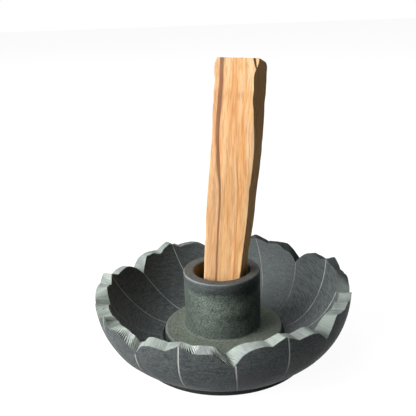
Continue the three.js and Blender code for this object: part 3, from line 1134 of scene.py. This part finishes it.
def stick_grid():
    """The stick's points in its own frame, in mm: right, back and up along its axis. Then 1 for its ends."""
    shares = np.linspace(0, 1, RINGS_ALONG)
    rings = [stick_ring(share) for share in shares]
    heights = [share * top_height(ring) for share, ring in zip(shares, rings)]
    sides = [np.column_stack([ring, height]) for ring, height in zip(rings, heights)]
    bottom = [blend(sides[0].mean(axis=0), sides[0], share) for share in FOOT_SHARES]
    top = [blend(sides[-1].mean(axis=0), sides[-1], share) for share in TOP_SHARES]
    ends = np.array([1] * len(bottom) + [0] * len(sides) + [1] * len(top))
    grid = np.array(bottom + sides + top)
    return grid, ends[:, None] * np.ones(grid.shape[1])


stick_points, stick_ends = stick_grid()
print("stick grid:", stick_points.shape[:2])

# %% [markdown]
# ## Fibres and lean
#
# Long fibres stand a little proud of the split sides, the sides are slightly hollow, and the ends are rough
# from the saw. Then the stick is leant over as its joint says, its heel's front left corner against the
# bore's wall and its foot on the bore's floor.

# %% Skin of the stick
# Depth and wavelength in mm of the fibres, of the thicker strands, of the hollows and of the saw's marks
Wave = namedtuple("Wave", "depth length")
FIBRE = Wave(0.05, 1.1)
STRAND = Wave(0.09, 3.4)
HOLLOW = Wave(0.12, 26)
SAW_MARK = Wave(0.05, 1.3)
FIBRE_STRETCH = (1, 1, 0.035)
HOLLOW_STRETCH = (0.6, 0.6, 1)
WALL_CLEARANCE = 0.3
HEEL_AZIMUTH = -46


def waves_over(grid, wave, seed):
    return wave.depth * ripples(grid, wave.length, seed)


def stick_relief(grid, ends):
    """How far the surface stands out, in mm."""
    drawn_out = grid * np.array(FIBRE_STRETCH)
    fibres = waves_over(drawn_out, FIBRE, seed=42) + waves_over(drawn_out, STRAND, seed=43)
    hollows = waves_over(grid * np.array(HOLLOW_STRETCH), HOLLOW, seed=44)
    sawn = waves_over(grid, SAW_MARK, seed=45)
    return np.where(ends > 0.5, sawn, fibres + hollows)


def lean_stick(grid):
    """The stick's points in the bowl's frame."""
    joint = next(joint for joint in frame["joints"] if joint["name"] == "stick_draw")
    along = Vector(joint["axis"]).normalized()
    turn = np.array(Vector((0, 0, 1)).rotation_difference(along).to_matrix())
    leaning = grid @ turn.T
    wall = round_the_bowl(BORE_RADIUS - WALL_CLEARANCE, np.array(HEEL_AZIMUTH), 0.0)
    foot = wall[:2] - stick_corners(0)[FRONT_LEFT]
    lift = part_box("palo_santo_stick")[0].z / MM - leaning[..., 2].min()
    return leaning + np.array([*foot, lift])


def near_corners(columns):
    """1 on the eased corners and 0 on the sides, for each column of the stick."""
    one_corner = [1] * POINTS_ON_CORNER + [0.6] + [0] * (POINTS_ON_SIDE - 1)
    return np.resize(one_corner, columns)


def on_right_side(columns):
    """1 for each column from the front right corner to the back right one, and 0 for the others."""
    side = np.arange(columns) // (POINTS_ON_CORNER + POINTS_ON_SIDE)
    return (side == FRONT_RIGHT) * 1.0


def make_stick(grid, ends):
    rough = grid + facing(grid) * stick_relief(grid, ends)[..., None]
    columns = grid.shape[1]
    values = {
        "grain_place": grid * MM,
        "corner": near_corners(columns) * (1 - ends),
        # The right side, which the material lifts with painted light
        "sawn": on_right_side(columns) * (1 - ends),
    }
    return make_skin("split_stick", lean_stick(rough), values)


stick = make_stick(stick_points, stick_ends)

# %% [markdown]
# ## Effects that both stones share
#
# Both stones have the same grain and wear in the same way, so each effect is a node group, built once.
# stone_grain puts out broad clouds, a fine mottle like the grain of soapstone, and a salt of pale specks.
# worn_edge breaks up an edge mask, so that wear comes and goes along an edge. streaks draws fine strokes that
# all run one way over the surface, and the bowl's stone uses it twice, for the brush and for the file. Each
# puts out masks or heights, and the materials decide on the colours.


# %% Node groups
def new_group(name, inputs, outputs):
    """A node group with named sockets, its input node's outputs by name, and its output node."""
    group = bpy.data.node_groups.new(name, "ShaderNodeTree")
    for label, kind in inputs.items():
        group.interface.new_socket(label, in_out="INPUT", socket_type=kind)
    for label in outputs:
        group.interface.new_socket(label, in_out="OUTPUT", socket_type="NodeSocketFloat")
    entry = group.nodes.new("NodeGroupInput")
    leave = group.nodes.new("NodeGroupOutput")
    return group, entry.outputs, leave


def placed_group(tree, group, sockets):
    return add_node(tree, "ShaderNodeGroup", sockets, node_tree=group).outputs


def stone_grain_group():
    inputs = {"Place": "NodeSocketVector", "Cloud Scale": "NodeSocketFloat", "Grain Scale": "NodeSocketFloat"}
    group, given, leave = new_group("stone_grain", inputs, ["Clouds", "Mottle", "Specks", "Height"])
    clouds = noise(group, given["Place"], given["Cloud Scale"], detail=4, roughness=0.6)
    fine = noise(group, given["Place"], given["Grain Scale"], detail=4, roughness=0.75)
    coarse_scale = arithmetic(group, "MULTIPLY", given["Grain Scale"], 0.3)
    coarse = noise(group, given["Place"], coarse_scale, detail=3, roughness=0.6)
    both = arithmetic(group, "ADD", product(group, fine, 0.8), product(group, coarse, 0.2))
    group.links.new(stretched(group, clouds, 0.32, 0.68), leave.inputs["Clouds"])
    group.links.new(stretched(group, both, 0.36, 0.64), leave.inputs["Mottle"])
    group.links.new(stretched(group, fine, 0.62, 0.74), leave.inputs["Specks"])
    group.links.new(fine, leave.inputs["Height"])
    return group


def worn_edge_group():
    inputs = {"Place": "NodeSocketVector", "Edge": "NodeSocketFloat"}
    group, given, leave = new_group("worn_edge", inputs, ["Wear"])
    patches = noise(group, given["Place"], 420, detail=4, roughness=0.7)
    raised = arithmetic(group, "ADD", given["Edge"], arithmetic(group, "SUBTRACT", patches, 0.55))
    group.links.new(stretched(group, raised, 0.35, 0.85), leave.inputs["Wear"])
    return group


def streaks_group():
    inputs = {"Place": "NodeSocketVector", "Scales": "NodeSocketVector"}
    group, given, leave = new_group("streaks", inputs, ["Strokes", "Height"])
    drawn_out = scaled_place(group, given["Place"], given["Scales"])
    strokes = noise(group, drawn_out, 1, detail=3, roughness=0.6, distortion=0.15)
    group.links.new(stretched(group, strokes, 0.36, 0.64), leave.inputs["Strokes"])
    group.links.new(strokes, leave.inputs["Height"])
    return group


stone_grain = stone_grain_group()
worn_edge = worn_edge_group()
streaks = streaks_group()
print("node groups:", [group.name for group in bpy.data.node_groups])


# %% Bumps
def bumps(tree, layers):
    """The normal after several bumps, each given as a height, its depth in metres and its strength."""
    normal = None
    for height, depth, strength in layers:
        sockets = {"Height": height, "Distance": depth, "Strength": strength}
        if normal is not None:
            sockets["Normal"] = normal
        normal = add_node(tree, "ShaderNodeBump", sockets).outputs[0]
    return normal


def object_place(tree):
    """The place on the piece itself, which moves with it."""
    return add_node(tree, "ShaderNodeTexCoord").outputs["Object"]


# %% [markdown]
# ## Carved stone
#
# The bowl's polished faces are a blue-black soapstone with a fine grain, brushed round and round, most
# plainly on the inside. The wax evens out the grain at the back, the foot is painted nearly black as the
# shade under the body, and the edges are worn pale. The mesh says how much of each there is at every point,
# and the noise breaks it up.

# %% Polished stone
STONE_DARK = (0.036, 0.044, 0.044)
STONE_LIGHT = (0.14, 0.156, 0.155)
STONE_VIOLET = (0.11, 0.107, 0.121)
STONE_SPECK = (0.2, 0.22, 0.22)
FOOT_SHADE = (0.018, 0.021, 0.021)
# Clouds per metre round the bowl and up it
BRUSHED_ROUND = (170.0, 1500.0, 1.0)


def polished_colour(tree, place, grain, strokes):
    """Colour of the waxed and brushed faces."""
    shade = between(tree, mask(tree, "brushing"), grain["Mottle"], strokes)
    shade = between(tree, mask(tree, "evenness"), shade, 0.5)
    height_up = add_node(tree, "ShaderNodeSeparateXYZ", {"Vector": place}).outputs["Z"]
    # The foot is painted nearly black, as the shade under the body
    foot_shade = stretched(tree, height_up, (FOOT_HEIGHT + 0.6) * MM, (FOOT_HEIGHT - 0.4) * MM, 0, 0.8)
    wear = placed_group(tree, worn_edge, {"Place": place, "Edge": mask(tree, "edge")})["Wear"]
    coats = [
        (product(tree, stretched(tree, grain["Clouds"], 0.5, 1), 0.35), STONE_VIOLET),
        (product(tree, grain["Specks"], 0.35), STONE_SPECK),
        (foot_shade, FOOT_SHADE),
        (product(tree, wear, 0.35), STONE_SPECK),
    ]
    return painted(tree, mixed(tree, shade, STONE_DARK, STONE_LIGHT), coats)


# %% [markdown]
# ## Filed stone
#
# Where the file cut through the wax, the same stone is a powdery pale green-grey, with soft lilac-grey bands
# and fine streaks across the wall. The fresh steps of the chatter are paler still, partly as painted light
# that lifts the shaded flank beside the front notch, with painted shade in the wedges between them and a
# painted shadow line along the outer edge. Their mask is worked out here again from the phase that the mesh
# carries, so that it stays sharp between the mesh's points.

# %% Filed face
RAW_PALE = (0.36, 0.417, 0.376)
RAW_LILAC = (0.27, 0.29, 0.29)
RAW_DARK = (0.14, 0.16, 0.15)
# The chatter's fresh steps, paler partly as painted light on the shaded flank beside the front notch
RAW_FRESH_AND_LIT = (0.56, 0.63, 0.58)
WAXED_CUT = (0.032, 0.038, 0.037)
# Painted shade in the chatter's wedges and along its outer edge
CHATTER_SHADE = (0.02, 0.024, 0.024)
# Clouds per metre along the rim and across it
FILED_ACROSS = (2300.0, 80.0, 1.0)


def chatter_masks(tree):
    """Painted shade in the chatter's wedges and along its outer edge, and the steps between the wedges."""
    turn = mask(tree, "chatter_phase")
    across = mask(tree, "across")
    strength = mask(tree, "chatter")
    steps = product(tree, arithmetic(tree, "FRACT", arithmetic(tree, "ADD", turn, 0.5)), strength)
    share = arithmetic(tree, "SUBTRACT", arithmetic(tree, "FRACT", turn), 0.5)
    from_middle = product(tree, arithmetic(tree, "ABSOLUTE", share), 2)
    half_width = product(tree, arithmetic(tree, "SUBTRACT", WEDGE_REACH, across, clamp=True), 0.8)
    inside_wedge = stretched(tree, arithmetic(tree, "SUBTRACT", half_width, from_middle), -0.05, 0.15)
    # A painted shadow line just inside the outer edge, where the chatter is
    edge_shadow_line = product(tree, stretched(tree, across, 0.12, 0.03), 0.8)
    return product(tree, arithmetic(tree, "MAXIMUM", inside_wedge, edge_shadow_line), strength), steps


def filed_colour(tree, place, strokes, shaded_wedges):
    """Colour of the face that the file cut."""
    bands = stretched(tree, noise(tree, place, 130, detail=3, roughness=0.6), 0.45, 0.62)
    raw = painted(tree, RAW_PALE, [
        (product(tree, bands, 0.8), RAW_LILAC),
        (product(tree, strokes, 0.4), RAW_DARK),
    ])
    return painted(tree, WAXED_CUT, [
        (mask(tree, "raw"), raw),
        # Fresh steps of the chatter, partly painted light
        (product(tree, mask(tree, "chatter"), 0.7), RAW_FRESH_AND_LIT),
        # Painted shade in the chatter's wedges
        (shaded_wedges, CHATTER_SHADE),
    ])


# %% [markdown]
# ## The bowl's material
#
# The cut mask chooses between the polished and the filed colour, and the scratched lines go over both. Filed
# and scratched stone is powdery, so it is rougher. The relief that is finer than the mesh is bump: the grain,
# the brush marks, the file's streaks, and the chatter's steps and wedges.

# %% Carved stone material
SCRATCH_PALE = (0.56, 0.58, 0.54)
STEP_HEIGHT = 0.0009


def carved_stone():
    material, tree, shader = new_material("carved_stone")
    place = object_place(tree)
    tool_place = attribute(tree, "tool_place").outputs["Vector"]
    grain = placed_group(tree, stone_grain, {"Place": place, "Cloud Scale": 60.0, "Grain Scale": 1300.0})
    brushed = placed_group(tree, streaks, {"Place": tool_place, "Scales": BRUSHED_ROUND})
    filed = placed_group(tree, streaks, {"Place": tool_place, "Scales": FILED_ACROSS})
    cut, line = mask(tree, "cut"), mask(tree, "line")
    shaded_wedges, steps = chatter_masks(tree)
    colour = painted(tree, polished_colour(tree, place, grain, brushed["Strokes"]), [
        (cut, filed_colour(tree, place, filed["Strokes"], shaded_wedges)),
        (stretched(tree, line, 0.05, 0.95), SCRATCH_PALE),
    ])
    tree.links.new(colour, shader.inputs["Base Color"])
    powdery = product(tree, arithmetic(tree, "MAXIMUM", cut, line), 0.3)
    waxed = stretched(tree, grain["Clouds"], 0, 1, 0.5, 0.62)
    tree.links.new(arithmetic(tree, "ADD", waxed, powdery, clamp=True), shader.inputs["Roughness"])
    shader.inputs["Specular IOR Level"].default_value = 0.06
    layers = [
        (grain["Height"], 0.00005, 0.6),
        (brushed["Height"], 0.00004, 0.5),
        (product(tree, filed["Height"], cut), 0.0002, 0.5),
        (product(tree, shaded_wedges, -1), 0.0002, 0.5),
        (product(tree, steps, cut), STEP_HEIGHT, 1.0),
    ]
    tree.links.new(bumps(tree, layers), shader.inputs["Normal"])
    return material


bowl.data.materials.append(carved_stone())
print("bowl's material:", bowl.active_material.name)

# %% [markdown]
# ## Turned stone
#
# The cup is the same kind of stone, left greener and coarser by the lathe: dark green-grey with a fine
# mottle, darker clouds and a salt of pale grains. Just under the mouth runs a dark band with an uneven lower
# edge, whose bluish tint is painted sheen. Soft patches of painted shade darken the wall and are a little
# glossier, and a painted highlight runs along the lip on the front left. The flange's top was never waxed and
# stays khaki. Smoke and resin have browned the mouth and the bore's wall, and the bore is painted darker
# deeper down as shade.

# %% Colours of the cup
CUP_DARK = (0.046, 0.057, 0.05)
CUP_GREEN = (0.235, 0.285, 0.238)
CUP_CLOUD = (0.08, 0.095, 0.086)
CUP_PAINTED_SHADE = (0.012, 0.015, 0.016)
CUP_BAND_AND_SHEEN = (0.062, 0.071, 0.075)
CUP_SPECK = (0.3, 0.34, 0.31)
CUP_LIP_HIGHLIGHT = (0.34, 0.37, 0.39)
FLANGE_KHAKI = (0.215, 0.24, 0.195)
FLANGE_DARK = (0.085, 0.1, 0.08)
MOUTH_BROWN = (0.115, 0.116, 0.106)
MOUTH_DARK = (0.05, 0.051, 0.047)
BORE_BROWN = (0.12, 0.1, 0.05)
# Painted shade deep in the bore
BORE_DEPTH_SHADE = (0.03, 0.025, 0.017)
SCRIBE_PALE = (0.34, 0.38, 0.34)
# Where the dark band with its painted bluish sheen lies under the mouth, and how far it reaches, in mm
BAND_HEIGHT = 33.0
BAND_REACH = 4.0
# Over how many mm below the mouth the bore turns from resin brown to painted shade
BORE_SHADE_REACH = 14


def band_and_sheen_share(tree, grain, height_up):
    """How much of the dark band, with its painted bluish sheen, there is. The clouds make its lower edge
    uneven.
    """
    from_band = arithmetic(tree, "ABSOLUTE", arithmetic(tree, "SUBTRACT", height_up, BAND_HEIGHT * MM))
    uneven = stretched(tree, grain["Clouds"], 0, 1, -0.8 * MM, 1.2 * MM)
    from_band = arithmetic(tree, "ADD", from_band, uneven)
    band = stretched(tree, from_band, BAND_REACH * MM, 0.3 * BAND_REACH * MM)
    return product(tree, band, stretched(tree, grain["Mottle"], 0, 1, 0.9, 0.65))


def cup_colour(tree, place, grain):
    """Colour of the whole cup, from the wall to what lies over it."""
    height_up = mask(tree, "height_up")
    mottle, specks = grain["Mottle"], grain["Specks"]
    # Soft patches of painted shade, with a little of the mottle left in them
    patch_shading = product(tree, mask(tree, "patch_shade"), stretched(tree, mottle, 0, 1, 1, 0.75))
    wear = placed_group(tree, worn_edge, {"Place": place, "Edge": mask(tree, "edge")})["Wear"]
    # Resin brown near the mouth, and painted shade darkening the bore further down
    stain_and_shade = stretched(tree, height_up, (CUP_MOUTH - BORE_SHADE_REACH) * MM, CUP_MOUTH * MM)
    scratched = arithmetic(tree, "MAXIMUM", mask(tree, "scribe"), mask(tree, "chips"))
    coats = [
        (product(tree, grain["Clouds"], 0.55), CUP_CLOUD),
        # The dark band, whose bluish tint is painted sheen
        (band_and_sheen_share(tree, grain, height_up), CUP_BAND_AND_SHEEN),
        (patch_shading, CUP_PAINTED_SHADE),
        (mask(tree, "flange"), mixed(tree, mottle, FLANGE_DARK, FLANGE_KHAKI)),
        (product(tree, specks, 0.35), CUP_SPECK),
        (product(tree, wear, 0.5), CUP_SPECK),
        # The painted highlight along the lip
        (product(tree, mask(tree, "lip"), 0.7), CUP_LIP_HIGHLIGHT),
        (mask(tree, "mouth"), mixed(tree, mottle, MOUTH_DARK, MOUTH_BROWN)),
        (mask(tree, "bore"), mixed(tree, stain_and_shade, BORE_DEPTH_SHADE, BORE_BROWN)),
        (product(tree, scratched, 0.8), SCRIBE_PALE),
    ]
    return painted(tree, mixed(tree, mottle, CUP_DARK, CUP_GREEN), coats)


# %% Turned stone material
# Clouds per metre round the cup and up it
TURNED_RINGS = (60.0, 60.0, 2400.0)


def turned_stone():
    material, tree, shader = new_material("turned_stone")
    place = object_place(tree)
    grain = placed_group(tree, stone_grain, {"Place": place, "Cloud Scale": 110.0, "Grain Scale": 1900.0})
    tree.links.new(cup_colour(tree, place, grain), shader.inputs["Base Color"])
    rough = stretched(tree, grain["Clouds"], 0, 1, 0.5, 0.66)
    rough = arithmetic(tree, "ADD", rough, product(tree, mask(tree, "flange"), 0.2))
    # The patches of painted shade are also a little glossier
    rough = arithmetic(tree, "SUBTRACT", rough, product(tree, mask(tree, "patch_shade"), 0.12))
    tree.links.new(rough, shader.inputs["Roughness"])
    shader.inputs["Specular IOR Level"].default_value = 0.1
    rings = noise(tree, scaled_place(tree, place, TURNED_RINGS), 1, detail=2)
    layers = [(grain["Height"], 0.00007, 0.6), (rings, 0.00003, 0.3)]
    tree.links.new(bumps(tree, layers), shader.inputs["Normal"])
    return material


cup.data.materials.append(turned_stone())
print("cup's material:", cup.active_material.name)

# %% [markdown]
# ## Palo santo wood
#
# The grain runs the length of the stick, so its noise is stretched along that axis and squeezed across it. It
# follows one dark purple-brown growth line, which wanders from the left of the foot to the left of the top
# with a kink half way. The wood's own places come from the mesh, so the grain stays with the stick however it
# leans, and the same lines come out on the sawn end.

# %% Places in the wood
# Height along the stick in mm, and the dark line's place to the right of the stick's axis there
STRIPE_PATH = [(0, -3.1), (33, -3.8), (50, -4.1), (58, -4.9), (66, -5.8), (74, -6.4), (88, -6.2), (100, -6.5)]
WoodPlace = namedtuple("WoodPlace", "right back height sideways")

# Clouds per mm across and along the grain, with the noise's detail and distortion
Fibre = namedtuple("Fibre", "across along detail distortion")
FIBRES = {
    "broad": Fibre(0.3, 0.035, 3, 0.6),
    "fine": Fibre(1.5, 0.045, 4, 0.3),
    "hair": Fibre(2.6, 0.13, 2, 0),
}


def stripe_place(tree, height):
    """How far right of the axis the dark line lies at a height in mm, from a curve through its path."""
    length = STRIPE_PATH[-1][0]
    widest = max(abs(side) for _, side in STRIPE_PATH)
    share = arithmetic(tree, "DIVIDE", height, length)
    curve = add_node(tree, "ShaderNodeFloatCurve", {"Value": share})
    points = curve.mapping.curves[0].points
    while len(points) < len(STRIPE_PATH):
        points.new(0.5, 0.5)
    for point, (along, side) in zip(points, STRIPE_PATH):
        point.location = (along / length, -side / widest)
    curve.mapping.update()
    return product(tree, curve.outputs[0], -widest)


def wood_place(tree):
    """A place in the stick in mm. sideways is how far it lies to the right of the dark growth line."""
    grain_place = attribute(tree, "grain_place").outputs["Vector"]
    parts = add_node(tree, "ShaderNodeSeparateXYZ", {"Vector": grain_place}).outputs
    right, back, height = (product(tree, parts[axis], 1 / MM) for axis in "XYZ")
    sideways = arithmetic(tree, "SUBTRACT", right, stripe_place(tree, height))
    return WoodPlace(right, back, height, sideways)


def wood_fibres(tree, at):
    """The noise of each size of fibre, by name."""
    sockets = {"X": at.sideways, "Y": at.back, "Z": at.height}
    followed = add_node(tree, "ShaderNodeCombineXYZ", sockets).outputs[0]
    found = {}
    for name, (across, along, detail, distortion) in FIBRES.items():
        squeezed = scaled_place(tree, followed, (across, across * 0.7, along))
        found[name] = noise(tree, squeezed, 1, detail, 0.6, distortion)
    return found


print("sizes of fibre:", list(FIBRES))

# %% [markdown]
# ## Colours of the wood
#
# The wood is warm tan, paler in broad streaks, and pinker to the left of the growth line; its lower part is
# brighter and more orange, with fewer fine fibres, as painted light. Finer fibres draw red-brown streaks over
# it, and on the shaded right side a brighter, warmer coat covers many of them as painted light. A second,
# fainter growth line runs up the lower half, split corners are pale, partly as a painted edge highlight, and
# a splinter has cracked loose at the top right of the front, with painted shade in its crack.

# %% Wood colours and lines
WOOD_TAN = (0.96, 0.53, 0.23)
WOOD_PALE = (0.98, 0.67, 0.38)
# Brighter, more orange wood towards the foot, as painted light
WOOD_LOW_LIT = (1.0, 0.59, 0.27)
WOOD_PINK = (0.88, 0.53, 0.29)
WOOD_FIBRE = (0.66, 0.25, 0.08)
# Pale split corners, partly a painted edge highlight
WOOD_EDGE_AND_HIGHLIGHT = (0.97, 0.72, 0.44)
# A brighter, warmer coat that lifts the shaded right side, as painted light
WOOD_RIGHT_SIDE_LIT = (1.0, 0.6, 0.26)
STRIPE_BROWN = (0.23, 0.09, 0.055)
# Painted shade in the open crack
CRACK_SHADE = (0.1, 0.045, 0.02)
STRIPE_WIDTH = 0.55
SECOND_LINE_OFFSET = 6.7
# How far right of the axis the crack is at the top and at its foot, and how long it is, in mm
CRACK_TOP = 5.0
CRACK_FOOT = 5.9
CRACK_LENGTH = 4.6


def growth_lines(tree, at, fine):
    """Shares of the dark growth line and of the fainter one to its right."""
    wider_up = stretched(tree, at.height, 30, 80, 0.7, 1.3)
    uneven = product(tree, stretched(tree, fine, 0.3, 0.7, 0.7, 1.3), wider_up)
    beside = arithmetic(tree, "DIVIDE", arithmetic(tree, "ABSOLUTE", at.sideways), uneven)
    first = product(tree, stretched(tree, beside, 1.35 * STRIPE_WIDTH, 0.55 * STRIPE_WIDTH), 0.8)
    away = arithmetic(tree, "ABSOLUTE", arithmetic(tree, "SUBTRACT", at.sideways, SECOND_LINE_OFFSET))
    second = product(tree, stretched(tree, away, 0.5, 0.05), stretched(tree, at.height, 68, 56), 0.75)
    return first, second


def crack_shade(tree, at):
    """Painted shade in the open crack on the front, from the saw cut down to its foot."""
    below_top = arithmetic(tree, "SUBTRACT", STICK_LENGTH, at.height)
    crack_place = stretched(tree, below_top, 0, CRACK_LENGTH, CRACK_TOP, CRACK_FOOT)
    from_crack = arithmetic(tree, "ABSOLUTE", arithmetic(tree, "SUBTRACT", at.right, crack_place))
    half_width = stretched(tree, below_top, 0, CRACK_LENGTH, 0.45, 0.25)
    crack = stretched(tree, arithmetic(tree, "SUBTRACT", half_width, from_crack), -0.12, 0.12)
    above_foot = stretched(tree, below_top, CRACK_LENGTH, CRACK_LENGTH - 1)
    return product(tree, crack, stretched(tree, at.back, -2, -3), above_foot)


def wood_colour(tree, at, broad, fine, hair):
    """Colour of the stick, from the broad streaks to the finest marks."""
    # The right side, lifted with painted light in the coats below
    sawn = mask(tree, "sawn")
    # Fewer fine fibres towards the foot, which lifts the lower stick as painted light
    fewer_fibres_low = stretched(tree, at.height, 20, 60, 0.75, 1)
    dark_line, second_line = growth_lines(tree, at, fine)
    coats = [
        # The lower stick brightened as painted light
        (stretched(tree, at.height, 75, 20, 0, 0.7), WOOD_LOW_LIT),
        (product(tree, stretched(tree, at.sideways, 0.6, -0.6), 0.55), WOOD_PINK),
        (product(tree, stretched(tree, broad, 0.46, 0.34), 0.22), WOOD_FIBRE),
        (product(tree, stretched(tree, fine, 0.48, 0.68), 0.27), WOOD_FIBRE),
        (product(tree, stretched(tree, hair, 0.47, 0.6), fewer_fibres_low, 0.46), WOOD_FIBRE),
        # Painted light on the shaded right side, covering many of its fibres
        (product(tree, sawn, stretched(tree, fine, 0.35, 0.65, 0.9, 0.4)), WOOD_RIGHT_SIDE_LIT),
        (product(tree, sawn, stretched(tree, fine, 0.48, 0.66), 0.2), STRIPE_BROWN),
        (dark_line, STRIPE_BROWN),
        (second_line, WOOD_FIBRE),
        # Pale corners, partly a painted edge highlight
        (product(tree, mask(tree, "corner"), stretched(tree, fine, 0.35, 0.55), 0.6), WOOD_EDGE_AND_HIGHLIGHT),
        (crack_shade(tree, at), CRACK_SHADE),
    ]
    return painted(tree, mixed(tree, stretched(tree, broad, 0.35, 0.65), WOOD_TAN, WOOD_PALE), coats)


# %% Palo santo material
def palo_santo():
    material, tree, shader = new_material("palo_santo_wood")
    at = wood_place(tree)
    fibres = wood_fibres(tree, at)
    fine, hair = fibres["fine"], fibres["hair"]
    tree.links.new(wood_colour(tree, at, **fibres), shader.inputs["Base Color"])
    tree.links.new(stretched(tree, fine, 0.3, 0.7, 0.62, 0.8), shader.inputs["Roughness"])
    shader.inputs["Specular IOR Level"].default_value = 0.04
    tree.links.new(bumps(tree, [(hair, 0.00008, 0.5), (fine, 0.00015, 0.5)]), shader.inputs["Normal"])
    return material


stick.data.materials.append(palo_santo())
print("stick's material:", stick.active_material.name)

# %% [markdown]
# ## Riding on the frame
#
# Each dressed piece stands for the CAD node of the same thing and moves with that node's body. The bowl never
# moves, the cup lifts out of its seat, and the stick is drawn out of the cup along its own axis.

# %% Ride and replace
DRESSED = [
    (bowl, "bowl", "lotus_bowl", "carved_stone"),
    (cup, "cup", "stick_cup", "turned_stone"),
    (stick, "stick", "palo_santo_stick", "palo_santo_wood"),
]
for piece, body, node, slot in DRESSED:
    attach(piece, body)
    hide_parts(node)
